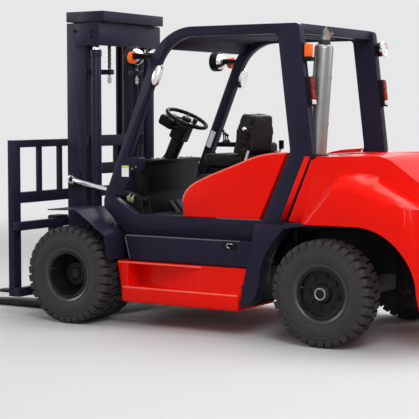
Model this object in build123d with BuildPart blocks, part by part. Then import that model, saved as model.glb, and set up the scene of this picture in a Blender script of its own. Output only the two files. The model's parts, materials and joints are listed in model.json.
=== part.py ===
from build123d import *
import os
from math import cos, hypot, radians, sin

# Counterbalance forklift, lengths in millimetres.
# +X points forward, +Y to the driver's left, +Z up; the floor is at z = 0.

# Overall layout
wheelbase = 2400
fork_face = 640            # front axle to the forks' upright faces
fork_length = 1220
rear_overhang = 860
front_axle_x = (wheelbase + rear_overhang - fork_face - fork_length) / 2
rear_axle_x = front_axle_x - wheelbase
run_clearance = 0.3        # radial play of a part that turns on a pin or shaft
seat_gap = 0.3             # play where a moving piece rests on a fixed one

# Wheels and tyres
tyre_radius = 418
tyre_width = 235
tread_half = 96            # half width of the tread
lug_count = 15             # lugs round each half of the tread
lug_depth = 20
lug_share = 0.55           # share of the pitch that a lug takes
lug_flank = 1.2            # degrees a lug's side leans
shoulder_edge = 2          # the shoulder slopes from this far over the lugs
shoulder_drop = 66         # from the tread down to the flat of the sidewall
bead_half = 78             # half distance between the rim flanges
rim_seat = 190.5
rim_wall = 12
rim_flange = 22            # height of a rim flange above the seat
rim_lip = 12               # thickness of a rim flange
dual_spacing = 272         # between the centres of the twin tyres
rear_tyre_y = 840
front_hub_radius = 105
rear_hub_radius = 80
rear_cap_radius = 45
disc_thickness = 24
axle_height = tyre_radius
half_width = tyre_width / 2
lug_turn = 90 / lug_count  # each half of the tread is turned by a quarter pitch

# Axles and knuckles
axle_tube_radius = 95
axle_bulge_radius = 160
front_spindle_radius = 60
brake_radius = 150
brake_y = 478
kingpin_y = 690
kingpin_radius = 22
rear_spindle_radius = 42
knuckle_radius = 50
steer_beam_height = 150
steer_ear = 40
ear_gap = 5

# Chassis
frame_y = 270              # outer face of the main side plates
frame_plate = 30
frame_top = 850
frame_bottom = 520
tank_top = 775             # top of the side boxes and underside of the sills
beam_top = 900             # front cross beam that carries the floor
floor_thickness = 30
engine_front = -1240       # ahead of the front axle
engine_rear = 470          # ahead of the rear axle
engine_width = 440
engine_height = 420
engine_inset = 60          # the upper block stands in by this much
engine_head = 140
floor_top = beam_top + floor_thickness

# Overhead guard
guard_y = 717              # outer face
guard_thickness = 75
guard_inner_y = guard_y - guard_thickness
guard_top = 2505
rail_height = 80
sill_top = 940
front_pillar_foot = -205   # ahead of the front axle
front_pillar_foot_z = 1060
front_pillar_lean = 0.412  # backward shift for each unit of height
front_pillar_width = 95
bend_radius = 450
rear_pillar_top = 310      # rear edge, ahead of the rear axle
rear_pillar_knee = 185
rear_pillar_knee_z = 1474
rear_pillar_width = 190
roof_bar_count = 7
roof_bar = 30
roof_bar_start = -1030     # first bar, ahead of the front axle
roof_bar_end = 200         # last bar, ahead of the rear pillars' rear edge
roof_beam_z = guard_top - 175
roof_beam_top = roof_beam_z + 90
roof_beam_depth = 66
rear_beam_depth = 90

# Body panels
box_y = 830                # outer face of the upper side boxes
step_y = 870
step_top = 560
step_bottom = 215
step_front = -450          # ahead of the front axle
step_slope = 62            # the foot stands behind the top edge
step_rear = 692            # ahead of the rear axle
step_rake = 78
scoop_front = -560         # ahead of the front axle
scoop_length = 740
scoop_depth = 190
scoop_bottom = 350
scoop_lip = 20
fender_inner_y = 500
fender_plate = 10
fender_top = 985
fender_bend = 780          # height where the plate turns down behind the tyre
rear_fender_y = 890
mudguard_front = ((322, 925), (604, 925), (632, tank_top), (step_rear - 8, step_top), (748, 262), (714, 252))
mudguard_arch = (mudguard_front[-1], (577, 405), (542, 605), (430, 805), mudguard_front[0])
panel_y = 705
panel_inner_y = 610
panel_front = -1007        # lower front corner, ahead of the front axle
panel_brow = (-1003, 1078)
panel_rise = (-1169, 1249)
panel_shoulder = (850, 1397)  # ahead of the rear axle, as are the next three
panel_top = (450, 1488)
panel_rear = 424
panel_heel = 668
hood_y = 600
hood_top = 1290
hood_wall = 20
hood_front = -1010         # ahead of the front axle
hood_rear = 415            # ahead of the rear axle

# Counterweight
weight_y = 930
upper_y = 740              # side wall of the upper body above the haunches
upper_corner = 190
haunch_bottom = 930
haunch_inner = ((262, haunch_bottom), (37, 1229), (-88, 1346), (-240, 1354), (-392, 1326),
                (-549, 1240), (-900, 1045))  # crest on the wall: ahead of the rear axle, height
haunch_outer = ((150, haunch_bottom), (-8, 1116), (-62, 1180), (-201, 1196), (-383, 1155),
                (-578, 1100), (-900, 1040))  # crest on the outer face
haunch_roll = ((0, 0), (0.45, 0.24), (0.75, 0.52), (0.93, 0.8), (1, 1), (1.1, 1.9))  # share out, down
arm_inner_y = 620
weight_top = 1478
arch_top = 945
arch_radius = 485
core_y = 290
core_front = -345          # ahead of the rear axle
weight_bottom = 280
deck_top = 1460
deck_plate = 40
corner_radius = 230
grille_y = 330
grille_bottom = 700
grille_top = 1130
grille_depth = 60
tow_slot_bottom = 430
tow_slot_top = 550
tow_slot_depth = 150
tow_slot_y = 80
tow_pin_radius = 18
tow_head = 30
tow_pin_x = rear_axle_x - rear_overhang + 32

# Mast
mast_y = 460               # outer face of the outer channels
mast_rear = 173            # ahead of the front axle
channel_depth = 208
channel_width = 85
channel_web = 20
channel_flange = 25
rail_gap = 10              # between outer and inner uprights
inner_width = 80
inner_web = 15
mast_bottom = 110
inner_bottom = 130
outer_top = 2590
inner_top = outer_top + 10
head_height = 90
head_top = inner_top + head_height
mast_bracket_radius = 125
lift_barrel_radius = 47.5
lift_rod_radius = 30
lift_x = 95                # ahead of the front axle
lift_y = 415
lift_foot = 600
lift_gland = outer_top - 270
sheave_x = 165
sheave_z = inner_top - 85
sheave_radius = 66
chain_y = 215
chain_width = 36
chain_thickness = 14
chain_anchor_z = outer_top - 405

# Twin front wheels stand beside the mast, under the fenders
wheel_clear = 30.5         # between the outer mast and the inner tyres
inner_tyre_y = mast_y + wheel_clear + half_width
front_tyre_y = inner_tyre_y + dual_spacing
fender_y = front_tyre_y + 105

# Carriage and forks
carriage_y = 985
bar_rear = 520             # ahead of the front axle
bar_front = 575
bar_height = 75
carriage_bottom = 190
carriage_top = 845
side_plate_y = 280
side_plate = 25
side_plate_rear = 215
roller_radius = 76
rest_top = 1559
rest_rail = 64
rest_lower = 1005
rest_lower_height = 95
rest_post = 100
rest_depth = 60
rest_bar = 40
rest_bar_count = 5
fork_y = 353
fork_width = 150
fork_thickness = 60
fork_bottom = 10
fork_tip = 14
fork_hook = 26
fork_play = seat_gap

# Tilt cylinders
tilt_y = 500
tilt_pin_x = 300           # rod pin on the mast, ahead of the front axle
tilt_pin_z = 1205
tilt_base_x = -450
tilt_base_z = 1045
tilt_barrel_length = 360
tilt_barrel_radius = 42
tilt_rod_radius = 24
tilt_rod_inside = 225
tilt_pin_radius = 18
tilt_eye_width = 44
tilt_eye_play = 5

# Cab
wheel_ring = 185           # steering wheel, to the middle of its rim
wheel_rim = 16
dash_y = 400
dash_outline = ((-505, beam_top), (-395, beam_top), (-330, 1180), (-360, 1440), (-470, 1520),
                (-560, 1440), (-470, 1350), (-430, 1100))  # ahead of the front axle, height
column_foot = (-455, 1470)
column_head = (-590, 1740)
seat_y = 255
seat_front = -870
seat_depth = 460
seat_top = 1440
seat_base_height = 50
back_top = 1823
back_thickness = 115
exhaust_y = 520
exhaust_x = 249            # foot, ahead of the rear axle
exhaust_radius = 75
exhaust_lean = 4
exhaust_height = 880
tailpipe_radius = 38
lamp_z = 2270
lamp_x = -590
lamp_y = 680
lamp_radius = 85
lamp_depth = 120

os.makedirs("parts", exist_ok=True)


def fore(distance):
    """X of a point this far ahead of the front axle."""
    return front_axle_x + distance


def aft(distance):
    """X of a point this far ahead of the rear axle."""
    return rear_axle_x + distance


def side_plane(y):
    """Side view plane at a given y; extruding goes towards -Y."""
    return Plane.XZ.offset(-y)


def axle_plane(x):
    """Half-section plane of a wheel: along the axle, then outwards from it."""
    return Plane(origin=(x, 0, axle_height), x_dir=(0, 1, 0), z_dir=(1, 0, 0))


def axle_line(x):
    return Axis((x, 0, axle_height), (0, 1, 0))


def front_pillar_x(z):
    """Front edge of the front pillars at a height."""
    return fore(front_pillar_foot - front_pillar_lean * (z - front_pillar_foot_z))


def rear_pillar_x(z):
    """Rear edge of the rear pillars, above their knee."""
    share = (z - rear_pillar_knee_z) / (guard_top - rear_pillar_knee_z)
    return aft(rear_pillar_knee + (rear_pillar_top - rear_pillar_knee) * share)


def write(builder, name):
    builder.part.label = name
    export_step(builder.part, f"parts/{name}.step")


def tread_outline(turn):
    """Outline of one half of the tread about the axle, a lug at each pitch."""
    pitch = 360 / lug_count
    half = pitch * lug_share / 2
    tip = tyre_radius / cos(radians(abs(turn) - half))
    root = tyre_radius - lug_depth
    points = []
    for index in range(lug_count):
        middle = turn + index * pitch - 90
        for radius, angle in ((root, middle - half - lug_flank), (tip, middle - half),
                              (tip, middle + half), (root, middle + half + lug_flank)):
            points.append((radius * cos(radians(angle)), radius * sin(radians(angle))))
    return points


def shoulder_cone(half):
    """Flat-sided cone about the axle that trims one half of the tread to its shoulder."""
    wall = (tyre_radius - shoulder_drop, half * half_width)
    slope = (shoulder_drop + shoulder_edge) / (half_width - tread_half)
    crown = (tyre_radius + shoulder_edge + slope * tread_half, 0)
    rings = []
    for radius, y in (crown, wall):
        angles = [radians(half * lug_turn + 90 + step * 180 / lug_count) for step in range(2 * lug_count)]
        rings.append([Vector(radius * cos(angle), y, radius * sin(angle)) for angle in angles])
    faces = [Face(Wire.make_polygon(ring)) for ring in rings]
    for step in range(2 * lug_count):
        faces.append(Face(Wire.make_polygon([rings[0][step - 1], rings[0][step], rings[1][step],
                                             rings[1][step - 1]])))
    return Solid(Shell(faces))


def rim_outline(centre):
    """Outer edge of one rim, from its outboard lip to its inboard lip."""
    lip = bead_half + rim_lip
    crest = rim_seat + rim_flange
    return [(centre + lip, crest), (centre + bead_half, crest), (centre + bead_half, rim_seat),
            (centre - bead_half, rim_seat), (centre - bead_half, crest), (centre - lip, crest)]


rim_bore = rim_seat - rim_wall
rim_half = bead_half + rim_lip
sides = ((1, "left"), (-1, "right"))

# Front wheels: twin tyres on one deep hub, each side
dual_middle = (front_tyre_y + inner_tyre_y) / 2
front_hub_in = dual_middle - 44
front_hub_out = dual_middle + 106
front_spindle_end = dual_middle + 56
bore_play = 1 / cos(radians(180 / lug_count))
with BuildPart() as tyre:
    for half in (1, -1):
        with BuildPart(mode=Mode.PRIVATE) as tread:
            with BuildSketch(side_plane(0)):
                with BuildLine():
                    Polyline(*tread_outline(half * lug_turn), close=True)
                make_face()
            extrude(amount=-half * half_width)
            add(shoulder_cone(half), mode=Mode.INTERSECT)
        add(tread.part)
    for reach, radius in ((half_width, rim_seat + rim_flange), (bead_half, rim_seat)):
        with BuildSketch(side_plane(reach)):
            RegularPolygon((radius + seat_gap) * bore_play, lug_count)
        extrude(amount=2 * reach, mode=Mode.SUBTRACT)

for name, axle_x, centres in (("front_tyres", front_axle_x, (front_tyre_y, inner_tyre_y)),
                              ("rear_tyre", rear_axle_x, (rear_tyre_y,))):
    for side, word in sides:
        with BuildPart() as tyres:
            for centre in centres:
                with Locations((axle_x, side * centre, axle_height)):
                    add(tyre.part)
        write(tyres, f"{name}_{word}")

for side, word in sides:
    spacer = rim_seat - 4
    bore = front_spindle_radius + run_clearance
    web = disc_thickness / 2
    section = [(front_tyre_y + rim_half, rim_bore)] + rim_outline(front_tyre_y)
    section += [(front_tyre_y - rim_half, spacer), (inner_tyre_y + rim_half, spacer)]
    section += rim_outline(inner_tyre_y)
    section += [(inner_tyre_y - rim_half, rim_bore), (dual_middle - web, rim_bore),
                (dual_middle - web, front_hub_radius), (front_hub_in, front_hub_radius),
                (front_hub_in, bore), (front_spindle_end + 5, bore), (front_spindle_end + 5, 0),
                (front_hub_out, 0), (front_hub_out, front_hub_radius - 12),
                (front_hub_out - 12, front_hub_radius), (dual_middle + web, front_hub_radius),
                (dual_middle + web, rim_bore)]
    with BuildPart() as front_rims:
        with BuildSketch(axle_plane(front_axle_x)):
            with BuildLine():
                Polyline(*[(side * u, r) for u, r in section], close=True)
            make_face()
        revolve(axis=axle_line(front_axle_x))
    write(front_rims, f"front_rims_{word}")

# Rear wheels: single tyres on the steering knuckles
rear_hub_in = rear_tyre_y - 40
rear_hub_out = rear_tyre_y + 70
rear_spindle_end = rear_tyre_y + 58
for side, word in sides:
    bore = rear_spindle_radius + run_clearance
    disc_in = rear_tyre_y + 12
    disc_out = disc_in + disc_thickness
    section = [(rear_tyre_y + rim_half, rim_bore)] + rim_outline(rear_tyre_y)
    section += [(rear_tyre_y - rim_half, rim_bore), (disc_in, rim_bore),
                (disc_in, rear_hub_radius), (rear_hub_in, rear_hub_radius), (rear_hub_in, bore),
                (rear_spindle_end + 3, bore), (rear_spindle_end + 3, 0), (rear_hub_out + 30, 0),
                (rear_hub_out + 30, rear_cap_radius - 8), (rear_hub_out + 22, rear_cap_radius),
                (rear_hub_out, rear_cap_radius), (rear_hub_out, rear_hub_radius - 15),
                (disc_out, rear_hub_radius), (disc_out, rim_bore)]
    with BuildPart() as rear_rim:
        with BuildSketch(axle_plane(rear_axle_x)):
            with BuildLine():
                Polyline(*[(side * u, r) for u, r in section], close=True)
            make_face()
        revolve(axis=axle_line(rear_axle_x))
    write(rear_rim, f"rear_rim_{word}")

# Drive axle: differential housing, tubes, brake backing plates and spindles
with BuildPart() as drive_axle:
    with BuildSketch(axle_plane(front_axle_x)):
        with BuildLine():
            Polyline((0, 0), (0, axle_bulge_radius), (150, axle_bulge_radius),
                     (frame_y - frame_plate - 10, axle_tube_radius), (brake_y, axle_tube_radius),
                     (brake_y, brake_radius), (brake_y + 22, brake_radius),
                     (brake_y + 22, front_spindle_radius),
                     (front_spindle_end, front_spindle_radius), (front_spindle_end, 0), close=True)
        make_face()
    revolve(axis=axle_line(front_axle_x))
    mirror(about=Plane.XZ)
write(drive_axle, "drive_axle")

# Steer axle: tapered box beam with forked ends, hung under the frame on a saddle
beam_end_y = kingpin_y - knuckle_radius - ear_gap
beam_bottom = axle_height - steer_beam_height / 2
beam_crest = axle_height + steer_beam_height / 2
with BuildPart() as steer_axle:
    with BuildSketch(Plane.XY.offset(beam_bottom)):
        with BuildLine():
            Polyline((aft(120), 0), (aft(120), 350), (aft(60), 560), (aft(60), beam_end_y),
                     (aft(-60), beam_end_y), (aft(-60), 560), (aft(-120), 350), (aft(-120), 0),
                     close=True)
        make_face()
    extrude(amount=steer_beam_height)
    for level in (beam_bottom - steer_ear, beam_crest):
        with BuildSketch(Plane.XY.offset(level)):
            with Locations((aft(0), (560 + kingpin_y) / 2)):
                Rectangle(110, kingpin_y - 560)
            with Locations((aft(0), kingpin_y)):
                Circle(55)
                Circle(kingpin_radius + run_clearance, mode=Mode.SUBTRACT)
        extrude(amount=steer_ear)
    with BuildSketch(Plane.XY.offset(beam_crest)):
        with Locations((aft(0), 60)):
            Rectangle(200, 120)
    extrude(amount=frame_bottom - beam_crest)
    mirror(about=Plane.XZ)
write(steer_axle, "steer_axle")

# Steering knuckles with their king pins and stub axles
knuckle_bottom = beam_bottom + ear_gap
knuckle_height = steer_beam_height - 2 * ear_gap
for side, word in sides:
    with BuildPart() as knuckle:
        with BuildSketch(Plane.XY.offset(knuckle_bottom)):
            with Locations((aft(0), side * kingpin_y)):
                Circle(knuckle_radius)
        extrude(amount=knuckle_height)
        with BuildSketch(Plane.XY.offset(beam_bottom - steer_ear)):
            with Locations((aft(0), side * kingpin_y)):
                Circle(kingpin_radius)
        extrude(amount=steer_beam_height + 2 * steer_ear)
        with BuildSketch(side_plane(side * kingpin_y)):
            with Locations((aft(0), axle_height)):
                Circle(rear_spindle_radius)
        extrude(amount=-side * (rear_spindle_end - kingpin_y))
        with BuildSketch(side_plane(side * (kingpin_y + 45))):
            with Locations((aft(0), axle_height)):
                Circle(68)
        extrude(amount=-side * 20)
    write(knuckle, f"knuckle_{word}")

# Main frame: side plates saddled on the drive axle, cross plates, front beam and tilt brackets
beam_front_x = fore(-385)
beam_rear_x = fore(-540)
bracket_y = 68             # half width of a tilt bracket's fork
bracket_plate = 20
with BuildPart() as chassis_frame:
    with BuildSketch(side_plane(frame_y)):
        with BuildLine():
            Polyline((fore(125), 320), (fore(125), 520), (fore(-130), 560), (fore(-300), frame_top),
                     (aft(core_front), frame_top), (aft(core_front), frame_bottom),
                     (fore(-330), frame_bottom), (fore(-160), 320), close=True)
        make_face()
        with Locations((fore(0), axle_height)):
            Circle(axle_tube_radius + seat_gap, mode=Mode.SUBTRACT)
    extrude(amount=frame_plate)
    mirror(about=Plane.XZ)
    inner = 2 * (frame_y - frame_plate)
    for x, length in ((fore(-620), 160), (fore(-1300), 120), (aft(480), 120), (aft(0), 240)):
        with BuildSketch(Plane.XY.offset(frame_bottom)):
            with Locations((x, 0)):
                Rectangle(length, inner)
        extrude(amount=40)
    with BuildSketch(side_plane(guard_inner_y)):
        with BuildLine():
            Polyline((beam_front_x, beam_top), (beam_front_x, 800), (beam_rear_x, 800),
                     (beam_rear_x, beam_top), close=True)
        make_face()
    extrude(amount=2 * guard_inner_y)
    for side in (1, -1):
        for offset_y in (-bracket_y, bracket_y - bracket_plate):
            with BuildSketch(side_plane(side * tilt_y + offset_y + bracket_plate)):
                with BuildLine():
                    Polyline((fore(tilt_base_x - 60), beam_top), (fore(tilt_base_x + 60), beam_top),
                             (fore(tilt_base_x + 35), tilt_base_z),
                             (fore(tilt_base_x - 35), tilt_base_z), close=True)
                make_face()
                with Locations((fore(tilt_base_x), tilt_base_z)):
                    Circle(35)
            extrude(amount=bracket_plate)
        with BuildSketch(side_plane(side * tilt_y + bracket_y)):
            with Locations((fore(tilt_base_x), tilt_base_z)):
                Circle(tilt_pin_radius)
        extrude(amount=2 * bracket_y)
write(chassis_frame, "chassis_frame")

# Engine: one plain block on the frame's cross plates
engine_bottom = frame_bottom + 40
with BuildPart() as engine_block:
    with BuildSketch(Plane.XY.offset(engine_bottom)):
        with Locations(((fore(engine_front) + aft(engine_rear)) / 2, 0)):
            Rectangle(fore(engine_front) - aft(engine_rear), engine_width)
    extrude(amount=engine_height)
    with BuildSketch(Plane.XY.offset(engine_bottom + engine_height)):
        with Locations(((fore(engine_front) + aft(engine_rear)) / 2, 0)):
            Rectangle(fore(engine_front) - aft(engine_rear) - 2 * engine_inset,
                      engine_width - 2 * engine_inset)
    extrude(amount=engine_head)
write(engine_block, "engine_block")

# Overhead guard sides: front pillar, roof rail, rear pillar and sill in one frame
rail_bottom = guard_top - rail_height
roof_corner = front_pillar_x(guard_top)
inner_corner = front_pillar_x(rail_bottom) - front_pillar_width
foot_inner_z = front_pillar_foot_z + 20
with BuildPart() as guard_sides:
    with BuildSketch(side_plane(guard_y)):
        with BuildLine():
            FilletPolyline((fore(front_pillar_foot), 1000),
                           (fore(front_pillar_foot), front_pillar_foot_z), (roof_corner, guard_top),
                           (aft(rear_pillar_top), guard_top),
                           (aft(rear_pillar_knee), rear_pillar_knee_z), (aft(410), sill_top),
                           (aft(450), tank_top), (fore(-430), tank_top),
                           radius=(40, 60, bend_radius, 45, 70, 30, 10, 20), close=True)
        make_face()
        with BuildLine():
            FilletPolyline((front_pillar_x(foot_inner_z) - front_pillar_width, foot_inner_z),
                           (inner_corner, rail_bottom),
                           (aft(rear_pillar_top + rear_pillar_width), rail_bottom),
                           (aft(rear_pillar_knee + rear_pillar_width + 10), 1500),
                           (aft(635), sill_top), (fore(-546), sill_top),
                           radius=(40, bend_radius - rail_height, 40, 60, 40, 60), close=True)
        make_face(mode=Mode.SUBTRACT)
    extrude(amount=guard_thickness)
    mirror(about=Plane.XZ)
write(guard_sides, "guard_sides")

# Roof: bent front beam, rear beam and cross bars between the two rails
roof_bar_first = fore(roof_bar_start)
roof_bar_last = aft(rear_pillar_top + roof_bar_end)
bar_pitch = (roof_bar_last - roof_bar_first) / (roof_bar_count - 1)
with BuildPart() as guard_roof:
    with BuildSketch(side_plane(guard_inner_y)):
        with BuildLine():
            Polyline((front_pillar_x(roof_beam_z) - 22, roof_beam_z),
                     (front_pillar_x(roof_beam_z) - 22 - roof_beam_depth, roof_beam_z),
                     (front_pillar_x(roof_beam_top) - 62 - 0.7 * roof_beam_depth, roof_beam_top),
                     (front_pillar_x(roof_beam_top) - 62, roof_beam_top), close=True)
        make_face()
        with Locations((aft(rear_pillar_top + 60), guard_top - rail_height / 2)):
            Rectangle(rear_beam_depth, rail_height - 4)
        for index in range(roof_bar_count):
            with Locations((roof_bar_first + index * bar_pitch, guard_top - rail_height / 2)):
                Rectangle(roof_bar, rail_height - 30)
    extrude(amount=2 * guard_inner_y)
write(guard_roof, "guard_roof")

# Side boxes under the sills
with BuildPart() as side_lockers:
    with BuildSketch(side_plane(box_y)):
        with BuildLine():
            Polyline((fore(-500), tank_top), (aft(640), tank_top), (aft(step_rear), step_top + seat_gap),
                     (fore(-556), step_top + seat_gap), close=True)
        make_face()
    extrude(amount=box_y - frame_y)
    fillet(side_lockers.edges().filter_by(Axis.X).sort_by(Axis.Y)[-2:], 14)
    mirror(about=Plane.XZ)
write(side_lockers, "side_lockers")

# Boarding steps: scooped foot room over a tread lip
with BuildPart() as steps:
    with BuildSketch(side_plane(step_y)):
        with BuildLine():
            Polyline((fore(step_front), step_top), (aft(step_rear), step_top),
                     (aft(step_rear + step_rake), step_bottom), (fore(step_front - step_slope), step_bottom),
                     close=True)
        make_face()
    extrude(amount=step_y - frame_y)
    with BuildSketch(Plane.XY.offset(scoop_bottom)):
        with BuildLine():
            Polyline((fore(scoop_front), step_y), (fore(scoop_front), step_y - scoop_depth),
                     (fore(scoop_front) - scoop_length, step_y), close=True)
        make_face()
    extrude(amount=step_top - scoop_bottom - scoop_lip, mode=Mode.SUBTRACT)
    mirror(about=Plane.XZ)
write(steps, "steps")

# Front fenders: bent plates over the drive wheels on a bracket from the cross beam
fender_run = ((fore(200), fender_top - 10), (fore(-95), fender_top), (fore(-400), fender_bend),
              (fore(-442), step_top + 12))
fender_slope = (fender_top - fender_bend) / (fender_run[1][0] - fender_run[2][0])
with BuildPart() as front_fenders:
    with BuildSketch(side_plane(fender_y)):
        with BuildLine():
            fender_line = FilletPolyline(*fender_run, radius=60)
            offset(fender_line, amount=fender_plate, side=Side.LEFT)
        make_face()
    extrude(amount=fender_y - fender_inner_y)
    with BuildSketch(side_plane(620)):
        with BuildLine():
            Polyline((beam_front_x, 890), (beam_front_x, 800), (fender_run[2][0] + 33, 796),
                     (fender_run[2][0] + 33 + 94 / fender_slope, 890), close=True)
        make_face()
    extrude(amount=60)
    mirror(about=Plane.XZ)
write(front_fenders, "front_fenders")

# Rear mudguards ahead of the steered wheels
with BuildPart() as rear_fenders:
    with BuildSketch(side_plane(rear_fender_y)):
        with BuildLine():
            Polyline(*[(aft(x), z) for x, z in mudguard_front])
            Spline(*[(aft(x), z) for x, z in mudguard_arch])
        make_face()
    extrude(amount=rear_fender_y - guard_y)
    mirror(about=Plane.XZ)
write(rear_fenders, "rear_fenders")

# Engine hood sides, one each side between the sill and the rear pillar
with BuildPart() as side_panels:
    with BuildSketch(side_plane(panel_y)):
        with BuildLine():
            panel_foot = Line((aft(panel_heel), sill_top), (fore(panel_front), sill_top))
            panel_nose = Line(panel_foot @ 1, (fore(panel_brow[0]), panel_brow[1]))
            panel_crest = Spline(panel_nose @ 1, (fore(panel_rise[0]), panel_rise[1]),
                                 (aft(panel_shoulder[0]), panel_shoulder[1]),
                                 (aft(panel_top[0]), panel_top[1]), tangents=((-0.2, 1), (-1, 0.05)))
            Polyline(panel_crest @ 1, (aft(panel_rear), panel_top[1]), (aft(panel_heel), sill_top))
        make_face()
    extrude(amount=panel_y - panel_inner_y)
    mirror(about=Plane.XZ)
write(side_panels, "side_panels")

# Floor plate
floor_rear = fore(hood_front) - 40
with BuildPart() as floor_plate:
    with BuildSketch(Plane.XY.offset(beam_top)):
        with Locations(((fore(-512) + floor_rear) / 2, 0)):
            Rectangle(fore(-512) - floor_rear, 2 * guard_inner_y)
    extrude(amount=floor_thickness)
write(floor_plate, "floor_plate")

# Dash: toe board and instrument cowl in one moulding
with BuildPart() as dash_cowl:
    with BuildSketch(side_plane(dash_y)):
        with BuildLine():
            FilletPolyline(*[(fore(x), z) for x, z in dash_outline],
                           radius=(0, 0, 60, 60, 50, 30, 60, 80), close=True)
        make_face()
    extrude(amount=2 * dash_y)
write(dash_cowl, "dash_cowl")

# Steering column and wheel share one axis
column_run = (column_head[0] - column_foot[0], column_head[1] - column_foot[1])
column_length = hypot(*column_run)
column_dir = (column_run[0] / column_length, 0, column_run[1] / column_length)
column_start = (fore(column_foot[0]), 0, column_foot[1])
column_plane = Plane(origin=column_start, x_dir=(0, 1, 0), z_dir=column_dir)
with BuildPart() as steering_column:
    with BuildSketch(column_plane.offset(-20)):
        Circle(45)
    extrude(amount=column_length - 10)
    add(dash_cowl.part, mode=Mode.SUBTRACT)
write(steering_column, "steering_column")

hub_depth = 40
with BuildPart() as steering_wheel:
    with BuildSketch(column_plane.offset(column_length - 30 + seat_gap)):
        Circle(38)
    extrude(amount=hub_depth)
    with BuildSketch(Plane(origin=column_plane.origin, x_dir=(0, 1, 0),
                           z_dir=Vector(0, 1, 0).cross(Vector(*column_dir)))):
        with Locations((wheel_ring, column_length + 8)):
            RegularPolygon(wheel_rim, 8)
    revolve(axis=Axis(column_plane.origin, column_dir))
    for turn in (90, 210, 330):
        reach = column_plane.x_dir * cos(radians(turn)) + column_plane.y_dir * sin(radians(turn))
        with BuildSketch(Plane(origin=column_plane.origin + column_plane.z_dir * (column_length - 12),
                               x_dir=reach, z_dir=column_dir)):
            with Locations((wheel_ring / 2, 0)):
                Rectangle(wheel_ring, 28)
        extrude(amount=16)
write(steering_wheel, "steering_wheel")

# Engine hood: open tray hinged at its rear edge
hood_rear_x = aft(hood_rear)
hood_foot = floor_top + seat_gap
hinge_z = hood_top + 22
hinge_radius = 18
hinge_pin = 9
hinge_y = 330
hinge_length = 90
with BuildPart() as hood:
    with BuildSketch(side_plane(hood_y)):
        with BuildLine():
            FilletPolyline((fore(hood_front), hood_foot), (fore(hood_front), 1150),
                           (fore(hood_front) - 90, hood_top), (hood_rear_x, hood_top),
                           (hood_rear_x, hood_foot), radius=(0, 60, 60, 0, 0), close=True)
        make_face()
    extrude(amount=2 * hood_y)
    with BuildSketch(side_plane(hood_y - hood_wall)):
        with BuildLine():
            Polyline((fore(hood_front) - hood_wall, hood_foot - 1),
                     (fore(hood_front) - hood_wall, 1140),
                     (fore(hood_front) - 100, hood_top - hood_wall),
                     (hood_rear_x - 1, hood_top - hood_wall), (hood_rear_x - 1, hood_foot - 1),
                     close=True)
        make_face()
    extrude(amount=2 * (hood_y - hood_wall), mode=Mode.SUBTRACT)
    for side in (1, -1):
        with BuildSketch(side_plane(side * hinge_y + hinge_length / 2)):
            with Locations((hood_rear_x + hinge_radius, hinge_z)):
                Circle(hinge_radius)
            with Locations((hood_rear_x + hinge_radius, (hood_top + hinge_z) / 2)):
                Rectangle(2 * hinge_radius, hinge_z - hood_top)
            with Locations((hood_rear_x + hinge_radius, hinge_z)):
                Circle(hinge_pin + run_clearance, mode=Mode.SUBTRACT)
        extrude(amount=hinge_length)
write(hood, "hood")

# Seat on the hood: suspension base, cushion and back
seat_middle = fore(seat_front) - seat_depth / 2
seat_foot = hood_top + seat_base_height
with BuildPart() as seat_mount:
    with BuildSketch(Plane.XY.offset(hood_top)):
        with Locations((seat_middle - 40, 0)):
            Rectangle(seat_depth - 120, 2 * seat_y - 130)
    extrude(amount=seat_base_height)
write(seat_mount, "seat_mount")

with BuildPart() as seat_cushion:
    with BuildSketch(Plane.XY.offset(seat_foot)):
        with Locations((seat_middle, 0)):
            RectangleRounded(seat_depth, 2 * seat_y, 70)
    extrude(amount=seat_top - seat_foot)
    fillet(seat_cushion.faces().sort_by(Axis.Z)[-1].edges(), 28)
write(seat_cushion, "seat_cushion")

back_foot_x = fore(seat_front) - seat_depth + back_thickness + 10
back_lean = 8
back_plane = Plane(origin=(back_foot_x, 0, seat_top + seat_gap), x_dir=(0, 1, 0),
                   z_dir=(cos(radians(back_lean)), 0, sin(radians(back_lean))))
back_length = (back_top - seat_top) / cos(radians(back_lean)) - back_thickness * sin(radians(back_lean))
with BuildPart() as seat_back:
    with BuildSketch(back_plane):
        with BuildLine():
            FilletPolyline((-seat_y, 0), (seat_y, 0), (seat_y - 5, back_length * 0.6),
                           (seat_y - 75, back_length), (75 - seat_y, back_length),
                           (5 - seat_y, back_length * 0.6),
                           radius=(15, 15, 90, 60, 60, 90), close=True)
        make_face()
    extrude(amount=-back_thickness)
    with BuildSketch(Plane.XY.offset(seat_top + seat_gap)):
        with Locations((back_foot_x, 0)):
            Rectangle(4 * back_thickness, 4 * seat_y)
    extrude(amount=-4 * back_thickness, mode=Mode.SUBTRACT)
write(seat_back, "seat_back")

# Lever console on the right of the seat
console_y = -390
console_front = fore(-900)
console_length = 360
console_top = 1540
lever_pitch = 34
lever_length = 80
lever_knob = 15
with BuildPart() as lever_console:
    with BuildSketch(side_plane(console_y + 60)):
        with BuildLine():
            FilletPolyline((console_front - 120, hood_top), (console_front - console_length, hood_top),
                           (console_front - console_length, console_top),
                           (console_front, console_top), (console_front, console_top - 70),
                           (console_front - 90, console_top - 100),
                           radius=(0, 0, 40, 30, 20, 60), close=True)
        make_face()
    extrude(amount=120)
    for index in range(3):
        with BuildSketch(Plane.XY.offset(console_top - 5)):
            with Locations((console_front - 60, console_y + (index - 1) * lever_pitch)):
                Circle(7)
        extrude(amount=lever_length + 5)
        with BuildSketch(Plane.XY.offset(console_top + lever_length)):
            with Locations((console_front - 60, console_y + (index - 1) * lever_pitch)):
                Circle(lever_knob)
        extrude(amount=2 * lever_knob)
        chamfer(lever_console.faces().sort_by(Axis.Z)[-1].edges(), lever_knob / 3)
write(lever_console, "lever_console")

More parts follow.
